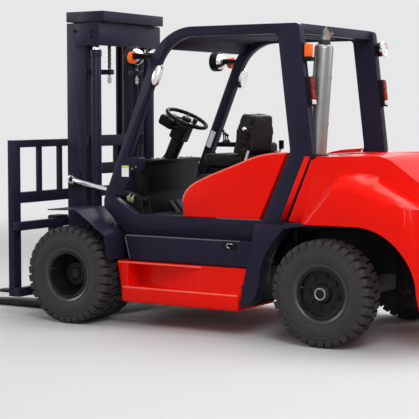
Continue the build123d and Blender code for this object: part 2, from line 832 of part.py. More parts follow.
# Pedals on the floor ahead of the seat
pedal_x = fore(-600)
with BuildPart() as pedals:
    for y, width in ((190, 70), (70, 110), (-130, 75)):
        with BuildSketch(side_plane(y + width / 2)):
            with BuildLine():
                Polyline((pedal_x, floor_top), (pedal_x + 70, floor_top + 95),
                         (pedal_x + 55, floor_top + 106), (pedal_x - 35, floor_top), close=True)
            make_face()
        extrude(amount=width)
write(pedals, "pedals")

# Counterweight: rear mass, haunches over the steered wheels and a core between the arches
weight_rear = aft(-rear_overhang)
plan_front = aft(400)
cut_top = weight_top + 100
haunch_depth = weight_y - upper_y
with BuildSketch(side_plane(0)) as weight_profile:
    with BuildLine():
        weight_crest = FilletPolyline((aft(310), arch_top), (aft(160), deck_top),
                                      (aft(-440), weight_top), (weight_rear, 1180),
                                      (weight_rear, 560), (weight_rear + 25, weight_bottom),
                                      (aft(-795), weight_bottom), (aft(-765), arch_top - arch_radius),
                                      radius=(60, 260, 240, 120, 15, 12))
        arch_end = (aft(-765) + arch_radius, arch_top)
        arch_mid = (aft(-765) + arch_radius * (1 - cos(radians(45))),
                    arch_top - arch_radius * (1 - sin(radians(45))))
        ThreePointArc(weight_crest @ 1, arch_mid, arch_end)
        Line(arch_end, weight_crest @ 0)
    make_face()

with BuildPart() as upper_weight:
    extrude(weight_profile.sketch, amount=upper_y, both=True)
    with BuildSketch(Plane.XY.offset(weight_bottom)):
        with BuildLine():
            FilletPolyline((plan_front, -upper_y), (weight_rear, -upper_y), (weight_rear, upper_y),
                           (plan_front, upper_y), radius=(0, upper_corner, upper_corner, 0), close=True)
        make_face()
    extrude(amount=weight_top, mode=Mode.INTERSECT)

with BuildPart() as counterweight:
    extrude(weight_profile.sketch, amount=weight_y, both=True)
    with BuildSketch(Plane.XY.offset(weight_bottom)):
        with BuildLine():
            FilletPolyline((plan_front, -weight_y), (weight_rear, -weight_y), (weight_rear, weight_y),
                           (plan_front, weight_y), radius=(0, corner_radius, corner_radius, 0), close=True)
        make_face()
    extrude(amount=weight_top, mode=Mode.INTERSECT)
    for side in (1, -1):
        with BuildPart(mode=Mode.PRIVATE) as clearing:
            for y, down in [(0, 0)] + [(upper_y + out * haunch_depth, down) for out, down in haunch_roll]:
                crest = [(aft(wall[0] + (edge[0] - wall[0]) * down), wall[1] + (edge[1] - wall[1]) * down)
                         for wall, edge in zip(haunch_inner, haunch_outer)]
                with BuildSketch(side_plane(side * y)):
                    with BuildLine():
                        Polyline((plan_front, crest[0][1]), *crest, (crest[-1][0], cut_top),
                                 (plan_front, cut_top), close=True)
                    make_face()
            loft(ruled=True)
        add(clearing.part, mode=Mode.SUBTRACT)
    add(upper_weight.part)
    with BuildSketch(Plane.XY.offset(weight_bottom)):
        with Locations(((aft(core_front) + aft(330)) / 2, 0)):
            Rectangle(aft(330) - aft(core_front), 2 * arm_inner_y)
    extrude(amount=weight_top, mode=Mode.SUBTRACT)
    with BuildSketch(Plane.XY.offset(weight_bottom)):
        with Locations(((aft(core_front) + aft(-800)) / 2, 0)):
            Rectangle(aft(core_front) - aft(-800), 2 * core_y)
    extrude(amount=arch_top - weight_bottom)
    with BuildSketch(Plane.XY.offset(grille_bottom)):
        with Locations((weight_rear, 0)):
            Rectangle(2 * grille_depth, 2 * grille_y)
    extrude(amount=grille_top - grille_bottom, mode=Mode.SUBTRACT)
    with BuildSketch(Plane.XY.offset(tow_slot_bottom)):
        with Locations((weight_rear, 0)):
            Rectangle(2 * tow_slot_depth, 2 * tow_slot_y)
    extrude(amount=tow_slot_top - tow_slot_bottom, mode=Mode.SUBTRACT)
    with BuildSketch(Plane.XY.offset(tow_slot_bottom - 50)):
        with Locations((tow_pin_x, 0)):
            Circle(tow_pin_radius + run_clearance)
    extrude(amount=grille_bottom - tow_slot_bottom + 51, mode=Mode.SUBTRACT)
write(counterweight, "counterweight")

# Tow pin dropped through the slot, with its ring handle in the grille recess
with BuildPart() as tow_pin:
    with BuildSketch(Plane.XY.offset(tow_slot_bottom - 50)):
        with Locations((tow_pin_x, 0)):
            Circle(tow_pin_radius)
    extrude(amount=grille_bottom - tow_slot_bottom + 50)
    with BuildSketch(Plane.XY.offset(grille_bottom)):
        with Locations((tow_pin_x, 0)):
            Circle(tow_pin_radius + 8)
    extrude(amount=tow_head)
write(tow_pin, "tow_pin")

# Radiator grille in the rear recess
louvre_count = 9
louvre_bottom = grille_bottom + tow_head + 30
louvre_pitch = (grille_top - louvre_bottom - 40) / (louvre_count - 1)
with BuildPart() as radiator_grille:
    with BuildSketch(Plane.YZ.offset(weight_rear + grille_depth)):
        with Locations((0, (grille_top + louvre_bottom) / 2)):
            Rectangle(2 * grille_y, grille_top - louvre_bottom)
    extrude(amount=-8)
    for index in range(louvre_count):
        with BuildSketch(Plane.YZ.offset(weight_rear + grille_depth - 8)):
            with Locations((0, louvre_bottom + 20 + index * louvre_pitch)):
                Rectangle(2 * grille_y, 14)
        extrude(amount=-22)
write(radiator_grille, "radiator_grille")

# Rear deck over the radiator, with the bulkhead that carries the hood hinge
bulkhead_x = hood_rear_x - 12
with BuildPart() as rear_deck:
    with BuildSketch(side_plane(arm_inner_y - 5)):
        with BuildLine():
            Polyline((bulkhead_x, frame_top), (bulkhead_x, deck_top), (aft(core_front), deck_top),
                     (aft(core_front), deck_top - deck_plate), (bulkhead_x - 25, deck_top - deck_plate),
                     (bulkhead_x - 25, frame_top), close=True)
        make_face()
    extrude(amount=2 * arm_inner_y - 10)
    for side in (1, -1):
        for ear_y in (hinge_length / 2 + 2, -hinge_length / 2 - 14):
            with BuildSketch(side_plane(side * hinge_y + ear_y + 12)):
                with Locations((hood_rear_x + hinge_radius, hinge_z)):
                    Circle(hinge_radius - 2)
                with Locations(((bulkhead_x + hood_rear_x + hinge_radius) / 2, hinge_z)):
                    Rectangle(hood_rear_x + hinge_radius - bulkhead_x, 2 * hinge_radius - 4)
            extrude(amount=12)
        with BuildSketch(side_plane(side * hinge_y + hinge_length / 2 + 14)):
            with Locations((hood_rear_x + hinge_radius, hinge_z)):
                Circle(hinge_pin)
        extrude(amount=hinge_length + 28)
write(rear_deck, "rear_deck")

# Exhaust stack standing on the deck, leaning back, with a bent tail pipe
lean = radians(exhaust_lean)
stack_plane = Plane(origin=(aft(exhaust_x), exhaust_y, deck_top), x_dir=(cos(lean), 0, sin(lean)),
                    z_dir=(-sin(lean), 0, cos(lean)))
with BuildPart() as exhaust_stack:
    with BuildSketch(stack_plane):
        Circle(exhaust_radius)
    extrude(amount=exhaust_height)
    fillet(exhaust_stack.faces().sort_by(Axis.Z)[-1].edges(), 30)
    with BuildSketch(stack_plane.offset(exhaust_height)):
        Circle(tailpipe_radius)
    extrude(amount=30)
    with BuildSketch(stack_plane.offset(exhaust_height + 30)):
        Circle(tailpipe_radius)
    tail_axis = stack_plane.offset(exhaust_height + 30)
    revolve(axis=Axis(tail_axis.origin - tail_axis.x_dir * 110, tail_axis.y_dir), revolution_arc=-50)
    with BuildSketch(Plane.XY.offset(deck_top)):
        with Locations((aft(exhaust_x), exhaust_y)):
            Rectangle(4 * exhaust_radius, 4 * exhaust_radius)
    extrude(amount=-100, mode=Mode.SUBTRACT)
write(exhaust_stack, "exhaust_stack")

# Lamps and mirrors on the pillars
plate_x = fore(lamp_x)
lamp_x_bite = 20           # depth the bracket is drawn into the pillar before the pillar is cut away
indicator_y = lamp_y + 125
indicator_radius = 38
work_lamp_radius = 62
work_lamp_z = guard_top - 139
tail_lamp_z = work_lamp_z - 398
tail_lamp_height = 230
tail_lamp_width = 64
with BuildPart() as lamp_brackets:
    with BuildSketch(side_plane(lamp_y + 15)):
        with BuildLine():
            Polyline((plate_x - 12, lamp_z + 15), (plate_x - 12, lamp_z - 15),
                     (front_pillar_x(lamp_z - 15) - lamp_x_bite, lamp_z - 15),
                     (front_pillar_x(lamp_z + 15) - lamp_x_bite, lamp_z + 15), close=True)
        make_face()
    extrude(amount=30)
    add(guard_sides.part, mode=Mode.SUBTRACT)
    with BuildSketch(Plane.YZ.offset(plate_x - 12)):
        with Locations(((lamp_y - 60 + indicator_y + 30) / 2, lamp_z)):
            Rectangle(indicator_y + 90 - lamp_y, 50)
    extrude(amount=12)
    with BuildSketch(side_plane(lamp_y + 15)):
        with BuildLine():
            Polyline((rear_pillar_x(work_lamp_z - 15), work_lamp_z - 15),
                     (rear_pillar_x(work_lamp_z + 15), work_lamp_z + 15),
                     (aft(230), work_lamp_z + 15), (aft(230), work_lamp_z - 15), close=True)
        make_face()
    extrude(amount=30)
    with BuildSketch(side_plane(lamp_y + tail_lamp_width / 2)):
        with BuildLine():
            low = tail_lamp_z - tail_lamp_height / 2
            high = tail_lamp_z + tail_lamp_height / 2
            Polyline((rear_pillar_x(low), low), (rear_pillar_x(high), high),
                     (rear_pillar_x(high) - 22, high), (rear_pillar_x(low) - 22, low), close=True)
        make_face()
    extrude(amount=tail_lamp_width)
    mirror(about=Plane.XZ)
write(lamp_brackets, "lamp_brackets")

with BuildPart() as headlamp_shells:
    with BuildSketch(side_plane(lamp_y)):
        with BuildLine():
            Polyline((plate_x, lamp_z + lamp_radius / 3),
                     (plate_x + lamp_depth / 4, lamp_z + lamp_radius * 0.66),
                     (plate_x + lamp_depth * 0.6, lamp_z + lamp_radius * 0.9),
                     (plate_x + lamp_depth - 14, lamp_z + lamp_radius),
                     (plate_x + lamp_depth, lamp_z + lamp_radius), (plate_x + lamp_depth, lamp_z),
                     (plate_x, lamp_z), close=True)
        make_face()
    revolve(axis=Axis((plate_x, lamp_y, lamp_z), (1, 0, 0)))
    mirror(about=Plane.XZ)
write(headlamp_shells, "headlamp_shells")

work_lamp_x = aft(230)
with BuildPart() as work_lamp_housings:
    with BuildSketch(Plane.YZ.offset(work_lamp_x)):
        with Locations((-lamp_y, work_lamp_z)):
            Circle(work_lamp_radius)
        with Locations((lamp_y, work_lamp_z)):
            Circle(indicator_radius + 4)
    extrude(amount=-40)
write(work_lamp_housings, "work_lamp_housings")

with BuildPart() as clear_lenses:
    with BuildSketch(Plane.YZ.offset(plate_x + lamp_depth)):
        with Locations((lamp_y, lamp_z), (-lamp_y, lamp_z)):
            Circle(lamp_radius - 8)
    extrude(amount=10)
    with BuildSketch(Plane.YZ.offset(work_lamp_x - 40)):
        with Locations((-lamp_y, work_lamp_z)):
            Circle(work_lamp_radius - 6)
    extrude(amount=-10)
write(clear_lenses, "clear_lenses")

with BuildPart() as amber_lenses:
    with BuildSketch(Plane.YZ.offset(plate_x)):
        with Locations((indicator_y, lamp_z), (-indicator_y, lamp_z)):
            Circle(indicator_radius)
    extrude(amount=60)
    with BuildSketch(Plane.YZ.offset(work_lamp_x - 40)):
        with Locations((lamp_y, work_lamp_z)):
            Circle(indicator_radius)
    extrude(amount=-34)
write(amber_lenses, "amber_lenses")

with BuildPart() as red_lenses:
    with BuildSketch(side_plane(lamp_y + tail_lamp_width / 2 - 4)):
        with BuildLine():
            low = tail_lamp_z - tail_lamp_height / 2 + 6
            high = tail_lamp_z + tail_lamp_height / 2 - 6
            Polyline((rear_pillar_x(low) - 22, low), (rear_pillar_x(high) - 22, high),
                     (rear_pillar_x(high) - 50, high - 8), (rear_pillar_x(low) - 50, low + 8),
                     close=True)
        make_face()
    extrude(amount=tail_lamp_width - 8)
    mirror(about=Plane.XZ)
write(red_lenses, "red_lenses")

mirror_z = 2110
mirror_x = front_pillar_x(mirror_z) - front_pillar_width - 40
with BuildPart() as mirrors:
    with BuildSketch(Plane.YZ.offset(mirror_x)):
        with Locations((lamp_y, mirror_z)):
            Ellipse(58, 84)
    extrude(amount=-26)
    with BuildSketch(Plane.YZ.offset(mirror_x)):
        with Locations((lamp_y, mirror_z)):
            Circle(9)
    extrude(amount=46)
    add(guard_sides.part, mode=Mode.SUBTRACT)
    mirror(about=Plane.XZ)
write(mirrors, "mirrors")

# Outer mast: channels, axle brackets, cross members and chain anchors
mast_front = mast_rear + channel_depth
channel_tip = mast_y - channel_width
inner_outer_y = channel_tip - rail_gap
inner_inner_y = inner_outer_y - inner_width
tie_plate = 25
head_tie_height = 190
head_tie_top = outer_top - 10
head_tie_bottom = head_tie_top - head_tie_height
foot_tie_bottom = 640
foot_tie_height = 140
mid_tie_bottom = (mast_bottom + outer_top) / 2 + 150
mid_tie_height = 100
head_tie_x = 10
head_tie = 30
lug_plate = 15
anchor_depth = 45
with BuildPart() as mast_outer:
    with BuildSketch(Plane.XY.offset(mast_bottom)):
        with Locations((fore(mast_rear + channel_depth / 2), mast_y - channel_width / 2)):
            Rectangle(channel_depth, channel_width)
        with Locations((fore(mast_rear + channel_depth / 2), mast_y - channel_web - channel_width / 2)):
            Rectangle(channel_depth - 2 * channel_flange, channel_width, mode=Mode.SUBTRACT)
    extrude(amount=outer_top - mast_bottom)
    with BuildSketch(side_plane(mast_y - 10)):
        with Locations((fore(0), axle_height)):
            Circle(mast_bracket_radius)
        with Locations((fore(mast_rear / 2), axle_height)):
            Rectangle(mast_rear, 2 * mast_bracket_radius)
        with Locations((fore(0), axle_height)):
            Circle(axle_tube_radius + run_clearance, mode=Mode.SUBTRACT)
    extrude(amount=channel_width - 20)
    foot_front = mast_rear
    foot_rear = lift_x - lift_barrel_radius - 8
    foot_bottom = axle_height + mast_bracket_radius
    with BuildSketch(Plane.XY.offset(foot_bottom)):
        with Locations((fore((foot_front + foot_rear) / 2), lift_y)):
            Rectangle(foot_front - foot_rear, channel_width)
    extrude(amount=lift_foot - foot_bottom)
    for low, height in ((foot_tie_bottom, foot_tie_height), (mid_tie_bottom, mid_tie_height)):
        with BuildSketch(Plane.XY.offset(low)):
            with Locations((fore(mast_rear - tie_plate / 2), mast_y / 2)):
                Rectangle(tie_plate, mast_y)
        extrude(amount=height)
    with BuildSketch(Plane.XY.offset(head_tie_bottom)):
        with Locations((fore(head_tie_x + head_tie / 2), mast_y / 2)):
            Rectangle(head_tie, mast_y)
        with Locations((fore((head_tie_x + mast_rear + 100) / 2), mast_y + 10)):
            Rectangle(mast_rear + 100 - head_tie_x, 20)
    extrude(amount=head_tie_top - head_tie_bottom)
    with BuildSketch(Plane.XY.offset(chain_anchor_z - anchor_depth)):
        with Locations((fore(mast_rear - tie_plate / 2), (mast_y + chain_y) / 2)):
            Rectangle(tie_plate, mast_y - chain_y + 50)
        with Locations((fore((sheave_x - sheave_radius - 40 + mast_rear) / 2), chain_y)):
            Rectangle(mast_rear - sheave_x + sheave_radius + 40, 50)
    extrude(amount=anchor_depth)
    mirror(about=Plane.XZ)
write(mast_outer, "mast_outer")

# Lugs on the outer channels, with the pins of the tilt rods
with BuildPart() as tilt_lugs:
    with BuildSketch(side_plane(mast_y + lug_plate)):
        with Locations((fore(tilt_pin_x), tilt_pin_z)):
            Rectangle(120, 130)
    extrude(amount=lug_plate)
    with BuildSketch(side_plane(mast_y)):
        with Locations((fore(tilt_pin_x), tilt_pin_z)):
            Circle(tilt_pin_radius)
    extrude(amount=-(tilt_y + tilt_eye_width / 2 + 6 - mast_y))
    mirror(about=Plane.XZ)
write(tilt_lugs, "tilt_lugs")

# Lift cylinders behind the outer channels
with BuildPart() as lift_barrels:
    with BuildSketch(Plane.XY.offset(lift_foot)):
        with Locations((fore(lift_x), lift_y)):
            Circle(lift_barrel_radius)
    extrude(amount=lift_gland - lift_foot)
    with BuildSketch(Plane.XY.offset(lift_foot + 30)):
        with Locations((fore(lift_x), lift_y)):
            Circle(lift_rod_radius + run_clearance)
    extrude(amount=lift_gland - lift_foot, mode=Mode.SUBTRACT)
    mirror(about=Plane.XZ)
write(lift_barrels, "lift_barrels")

# Inner mast: I-section uprights, ties, cross head over the cylinders and sheave ears
sheave_width = 40
ear_plate = 12
sheave_pin = 16
inner_tie = 22
with BuildPart() as mast_inner:
    with BuildSketch(Plane.XY.offset(inner_bottom)):
        with Locations((fore(mast_rear + channel_depth / 2), inner_outer_y - inner_width / 2)):
            Rectangle(channel_depth, inner_width)
        gap = (inner_width - inner_web) / 2
        for y in (inner_outer_y - gap / 2, inner_inner_y + gap / 2):
            with Locations((fore(mast_rear + channel_depth / 2), y)):
                Rectangle(channel_depth - 2 * channel_flange, gap, mode=Mode.SUBTRACT)
    extrude(amount=inner_top - inner_bottom)
    inner_mid = (inner_bottom + inner_top) / 2 - 115
    for low, height in ((inner_bottom + 40, 130), (inner_mid, 100)):
        with BuildSketch(Plane.XY.offset(low)):
            with Locations((fore(mast_rear + 5 + inner_tie / 2), inner_inner_y / 2)):
                Rectangle(inner_tie, inner_inner_y)
        extrude(amount=height)
    with BuildSketch(Plane.XY.offset(inner_top)):
        with Locations((fore((200 - 30) / 2), (mast_y + 10) / 2)):
            Rectangle(230, mast_y + 10)
        with Locations((fore((mast_front + 150) / 2), (mast_y + 5 + inner_inner_y) / 2)):
            Rectangle(mast_front - 150, mast_y + 5 - inner_inner_y)
    extrude(amount=head_top - inner_top)
    for y in (chain_y + sheave_width / 2 + 2 + ear_plate, chain_y - sheave_width / 2 - 2):
        with BuildSketch(side_plane(y)):
            with Locations((fore(sheave_x), sheave_z)):
                Circle(32)
            with Locations((fore(sheave_x), (sheave_z + inner_top) / 2)):
                Rectangle(64, inner_top - sheave_z)
            with Locations((fore(sheave_x), sheave_z)):
                Circle(sheave_pin + run_clearance, mode=Mode.SUBTRACT)
        extrude(amount=ear_plate)
    mirror(about=Plane.XZ)
write(mast_inner, "mast_inner")

with BuildPart() as lift_rods:
    with BuildSketch(Plane.XY.offset(lift_foot + 60)):
        with Locations((fore(lift_x), lift_y)):
            Circle(lift_rod_radius)
    extrude(amount=inner_top - lift_foot - 60)
    mirror(about=Plane.XZ)
write(lift_rods, "lift_rods")

# Chain sheaves with their pins
with BuildPart() as chain_sheaves:
    with BuildSketch(side_plane(chain_y + sheave_width / 2)):
        with Locations((fore(sheave_x), sheave_z)):
            Circle(sheave_radius)
    extrude(amount=sheave_width)
    with BuildSketch(side_plane(chain_y + sheave_width / 2 + 2 + ear_plate)):
        with Locations((fore(sheave_x), sheave_z)):
            Circle(sheave_pin)
    extrude(amount=sheave_width + 2 * (2 + ear_plate))
    mirror(about=Plane.XZ)
write(chain_sheaves, "chain_sheaves")

# Lift chains: the run from the anchor up, and the run over the sheave down to the carriage
chain_line = sheave_radius + seat_gap + chain_thickness / 2
chain_low_z = carriage_top - 10
with BuildPart() as chain_anchor_runs:
    with BuildSketch(Plane.XY.offset(chain_anchor_z)):
        with Locations((fore(sheave_x - chain_line), chain_y)):
            Rectangle(chain_thickness, chain_width)
    extrude(amount=sheave_z - chain_anchor_z)
    mirror(about=Plane.XZ)
write(chain_anchor_runs, "chain_anchor_runs")

with BuildPart() as chain_lift_runs:
    with BuildSketch(side_plane(chain_y + chain_width / 2)):
        with Locations((fore(sheave_x), sheave_z)):
            Circle(chain_line + chain_thickness / 2)
            Circle(chain_line - chain_thickness / 2, mode=Mode.SUBTRACT)
        with Locations((fore(sheave_x), sheave_z - 100)):
            Rectangle(400, 200, mode=Mode.SUBTRACT)
        with Locations((fore(sheave_x + chain_line), (sheave_z + chain_low_z) / 2)):
            Rectangle(chain_thickness, sheave_z - chain_low_z)
    extrude(amount=chain_width)
    mirror(about=Plane.XZ)
write(chain_lift_runs, "chain_lift_runs")

# Carriage: two hook bars, side plates with rollers and the chain bar
anchor_bar_front = sheave_x + chain_line + 25
with BuildPart() as carriage:
    for low in (carriage_bottom, carriage_top - bar_height):
        with BuildSketch(Plane.XY.offset(low)):
            with Locations((fore((bar_rear + bar_front) / 2), 0)):
                Rectangle(bar_front - bar_rear, 2 * carriage_y)
        extrude(amount=bar_height)
    for side in (1, -1):
        with BuildSketch(side_plane(side * side_plate_y)):
            with BuildLine():
                Polyline((fore(bar_rear), carriage_bottom), (fore(bar_rear), carriage_top),
                         (fore(side_plate_rear), carriage_top), (fore(side_plate_rear), carriage_bottom + 30),
                         close=True)
            make_face()
        extrude(amount=side * side_plate)
        for height in (carriage_bottom + 110, carriage_top - 90):
            with BuildSketch(side_plane(side * side_plate_y)):
                with Locations((fore(mast_rear + channel_depth / 2), height)):
                    Circle(26)
            extrude(amount=-side * 4)
            with BuildSketch(side_plane(side * (side_plate_y + 4))):
                with Locations((fore(mast_rear + channel_depth / 2), height)):
                    Circle(roller_radius)
            extrude(amount=-side * 28)
    with BuildSketch(Plane.XY.offset(chain_low_z - 60)):
        with Locations((fore((side_plate_rear + anchor_bar_front) / 2), 0)):
            Rectangle(anchor_bar_front - side_plate_rear, 2 * side_plate_y - 2 * side_plate)
    extrude(amount=60)
write(carriage, "carriage")

# Load backrest on the front of the hook bars
rest_x = fore(bar_front + rest_depth / 2)
rest_clear = 2 * (carriage_y - rest_post)
rest_pitch = rest_clear / (rest_bar_count + 1)
with BuildPart() as load_backrest:
    with BuildSketch(Plane.XY.offset(carriage_bottom)):
        with Locations((rest_x, carriage_y - rest_post / 2), (rest_x, rest_post / 2 - carriage_y)):
            Rectangle(rest_depth, rest_post)
    extrude(amount=rest_top - carriage_bottom)
    for low, height in ((rest_lower, rest_lower_height), (rest_top - rest_rail, rest_rail)):
        with BuildSketch(Plane.XY.offset(low)):
            with Locations((rest_x, 0)):
                Rectangle(rest_depth, rest_clear)
        extrude(amount=height)
    with BuildSketch(Plane.XY.offset(rest_lower + rest_lower_height)):
        for index in range(rest_bar_count):
            with Locations((rest_x, (index + 1) * rest_pitch - rest_clear / 2)):
                Rectangle(rest_bar, rest_bar)
    extrude(amount=rest_top - rest_rail - rest_lower - rest_lower_height)
write(load_backrest, "load_backrest")

# Forks: hooked over the bars, tapering to the tip
shank_rear = bar_front + fork_play
for side, word in sides:
    with BuildPart() as fork:
        with BuildSketch(side_plane(side * fork_y + fork_width / 2)):
            with BuildLine():
                blade_top = fork_bottom + fork_thickness
                FilletPolyline((fore(shank_rear), fork_bottom), (fore(fork_face + fork_length), fork_bottom),
                               (fore(fork_face + fork_length), fork_bottom + fork_tip),
                               (fore(fork_face + 350), blade_top), (fore(fork_face), blade_top),
                               (fore(fork_face), carriage_top + fork_play + fork_hook),
                               (fore(bar_rear), carriage_top + fork_play + fork_hook),
                               (fore(bar_rear), carriage_top + fork_play),
                               (fore(shank_rear), carriage_top + fork_play),
                               (fore(shank_rear), carriage_bottom - fork_play),
                               (fore(bar_rear), carriage_bottom - fork_play),
                               (fore(bar_rear), carriage_bottom - fork_play - fork_hook),
                               (fore(shank_rear), carriage_bottom - fork_play - fork_hook),
                               radius=(40, 0, 6, 40, 25, 20, 6, 0, 0, 0, 0, 6, 0), close=True)
            make_face()
        extrude(amount=fork_width)
    write(fork, f"fork_{word}")

# Tilt cylinders between the frame's brackets and the mast's lugs
tilt_run = (tilt_pin_x - tilt_base_x, tilt_pin_z - tilt_base_z)
tilt_length = hypot(*tilt_run)
tilt_dir = (tilt_run[0] / tilt_length, 0, tilt_run[1] / tilt_length)
with BuildPart() as tilt_barrels:
    tilt_plane = Plane(origin=(fore(tilt_base_x), tilt_y, tilt_base_z), x_dir=(0, 1, 0), z_dir=tilt_dir)
    with BuildSketch(tilt_plane.offset(30)):
        Circle(tilt_barrel_radius)
    extrude(amount=tilt_barrel_length - 30)
    with BuildSketch(tilt_plane.offset(60)):
        Circle(tilt_rod_radius + run_clearance)
    extrude(amount=tilt_barrel_length, mode=Mode.SUBTRACT)
    with BuildSketch(side_plane(tilt_y + tilt_eye_width / 2)):
        with Locations((fore(tilt_base_x), tilt_base_z)):
            Circle(34)
    extrude(amount=tilt_eye_width)
    with BuildSketch(side_plane(tilt_y + tilt_eye_width)):
        with Locations((fore(tilt_base_x), tilt_base_z)):
            Circle(tilt_pin_radius + run_clearance)
    extrude(amount=2 * tilt_eye_width, mode=Mode.SUBTRACT)
    mirror(about=Plane.XZ)
write(tilt_barrels, "tilt_barrels")

with BuildPart() as tilt_rods:
    with BuildSketch(tilt_plane.offset(tilt_rod_inside)):
        Circle(tilt_rod_radius)
    extrude(amount=tilt_length - tilt_rod_inside)
    with BuildSketch(side_plane(tilt_y + tilt_eye_width / 2)):
        with Locations((fore(tilt_pin_x), tilt_pin_z)):
            Circle(tilt_pin_radius + tilt_eye_play + 16)
    extrude(amount=tilt_eye_width)
    with BuildSketch(side_plane(tilt_y + tilt_eye_width)):
        with Locations((fore(tilt_pin_x), tilt_pin_z)):
            Circle(tilt_pin_radius + tilt_eye_play)
    extrude(amount=2 * tilt_eye_width, mode=Mode.SUBTRACT)
    mirror(about=Plane.XZ)
write(tilt_rods, "tilt_rods")
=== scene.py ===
import json
from math import atan2, cos, pi, radians, sin

import bpy
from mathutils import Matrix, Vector

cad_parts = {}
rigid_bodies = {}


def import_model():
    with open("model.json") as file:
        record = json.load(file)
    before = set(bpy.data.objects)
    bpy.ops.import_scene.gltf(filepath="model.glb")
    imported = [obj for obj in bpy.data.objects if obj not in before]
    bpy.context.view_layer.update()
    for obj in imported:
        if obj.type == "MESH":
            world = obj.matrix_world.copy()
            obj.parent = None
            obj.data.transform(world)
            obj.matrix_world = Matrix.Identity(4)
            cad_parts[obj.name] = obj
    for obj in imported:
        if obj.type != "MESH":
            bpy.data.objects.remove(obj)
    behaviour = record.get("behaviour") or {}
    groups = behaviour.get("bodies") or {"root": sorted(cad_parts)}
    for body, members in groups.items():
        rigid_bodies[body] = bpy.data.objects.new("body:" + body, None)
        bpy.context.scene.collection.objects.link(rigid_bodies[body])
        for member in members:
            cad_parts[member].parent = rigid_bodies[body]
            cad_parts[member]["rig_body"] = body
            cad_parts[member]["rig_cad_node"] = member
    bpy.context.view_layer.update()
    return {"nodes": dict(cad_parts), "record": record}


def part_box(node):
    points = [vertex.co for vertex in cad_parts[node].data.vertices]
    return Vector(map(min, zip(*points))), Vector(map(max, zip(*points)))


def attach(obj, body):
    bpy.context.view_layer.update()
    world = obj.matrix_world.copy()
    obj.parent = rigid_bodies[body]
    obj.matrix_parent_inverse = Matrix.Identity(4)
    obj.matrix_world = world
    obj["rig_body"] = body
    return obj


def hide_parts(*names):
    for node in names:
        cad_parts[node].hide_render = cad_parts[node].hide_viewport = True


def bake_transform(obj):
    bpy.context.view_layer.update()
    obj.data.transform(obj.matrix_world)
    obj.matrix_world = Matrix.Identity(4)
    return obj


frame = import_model()
nodes = frame["nodes"]
frontAxle = 0.7
rearAxle = -1.7
axleHeight = 0.418
sides = ((1, "left"), (-1, "right"))
touch = 0.001  # how near counts as lying on a face or level
print("frame loaded,", len(nodes), "nodes")

# working helpers


def dropSelection():
    if bpy.context.object and bpy.context.object.mode != "OBJECT":
        bpy.ops.object.mode_set(mode="OBJECT")
    bpy.ops.object.select_all(action="DESELECT")


def pick(obj):
    dropSelection()
    obj.select_set(True)
    bpy.context.view_layer.objects.active = obj


def settle(obj):
    pick(obj)
    bpy.ops.object.transform_apply(location=True, rotation=True, scale=True)


# the object that an operator has just made
def fresh(name):
    obj = bpy.context.object
    obj.name = name
    settle(obj)
    return obj


def openMesh(obj):
    pick(obj)
    bpy.ops.object.mode_set(mode="EDIT")
    bpy.ops.mesh.select_mode(type="VERT")
    bpy.ops.mesh.select_all(action="SELECT")


def closeMesh(outward=False, weld=0.0):
    bpy.ops.mesh.select_all(action="SELECT")
    if weld:
        bpy.ops.mesh.remove_doubles(threshold=weld)
    if outward:
        bpy.ops.mesh.normals_make_consistent(inside=False)
    bpy.ops.object.mode_set(mode="OBJECT")


# leaves the mesh open with the edges or vertices that pass the test selected
def selectWhere(obj, kind, test):
    pick(obj)
    bpy.ops.object.mode_set(mode="EDIT")
    bpy.ops.mesh.select_mode(type=kind)
    bpy.ops.mesh.select_all(action="DESELECT")
    bpy.ops.object.mode_set(mode="OBJECT")
    verts = obj.data.vertices
    for item in obj.data.edges if kind == "EDGE" else verts:
        item.select = test(*(verts[index].co for index in item.vertices)) if kind == "EDGE" else test(item.co)
    bpy.ops.object.mode_set(mode="EDIT")


def applyModifier(obj, kind, **values):
    pick(obj)
    mod = obj.modifiers.new(kind.lower(), kind)
    for name, value in values.items():
        setattr(mod, name, value)
    bpy.ops.object.modifier_apply(modifier=mod.name)


def softEdges(obj, width):
    applyModifier(obj, "BEVEL", width=width, segments=2, limit_method="ANGLE", angle_limit=radians(38))


def smooth(obj, angle):
    pick(obj)
    bpy.ops.object.shade_smooth_by_angle(angle=radians(angle))
    return obj


def dress(obj, slotName, body="chassis", replaced=(), look=None):
    obj.data.materials.clear()
    obj.data.materials.append(looks[look or slotName])
    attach(obj, body)
    if replaced:
        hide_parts(*replaced)
    return obj


# shader helpers


# colours are given without alpha here
def setInputs(node, values):
    for label, value in values.items():
        socket = node.inputs[label]
        socket.default_value = (*value, 1) if socket.type == "RGBA" else value


def feed(tree, socket, value):
    if isinstance(value, (int, float, tuple)):
        socket.default_value = value
    else:
        tree.links.new(value, socket)


def objectSpace(tree):
    return tree.nodes.new("ShaderNodeTexCoord").outputs["Object"]


def mathNode(tree, operation, first, second, clamp=False):
    node = tree.nodes.new("ShaderNodeMath")
    node.operation = operation
    node.use_clamp = clamp
    feed(tree, node.inputs[0], first)
    feed(tree, node.inputs[1], second)
    return node.outputs[0]


def noiseNode(tree, vector, scale, detail=3.0, rough=0.5):
    node = tree.nodes.new("ShaderNodeTexNoise")
    for label, value in (("Vector", vector), ("Scale", scale), ("Detail", detail), ("Roughness", rough)):
        feed(tree, node.inputs[label], value)
    return node.outputs["Fac"]


def rampNode(tree, value, low, high):
    node = tree.nodes.new("ShaderNodeMapRange")
    for label, given in (("Value", value), ("From Min", low), ("From Max", high)):
        feed(tree, node.inputs[label], given)
    return node.outputs["Result"]


def mixColour(tree, factor, first, second):
    node = tree.nodes.new("ShaderNodeMix")
    node.data_type = "RGBA"
    for index, value in ((0, factor), (6, first), (7, second)):
        feed(tree, node.inputs[index], value)
    return node.outputs[2]


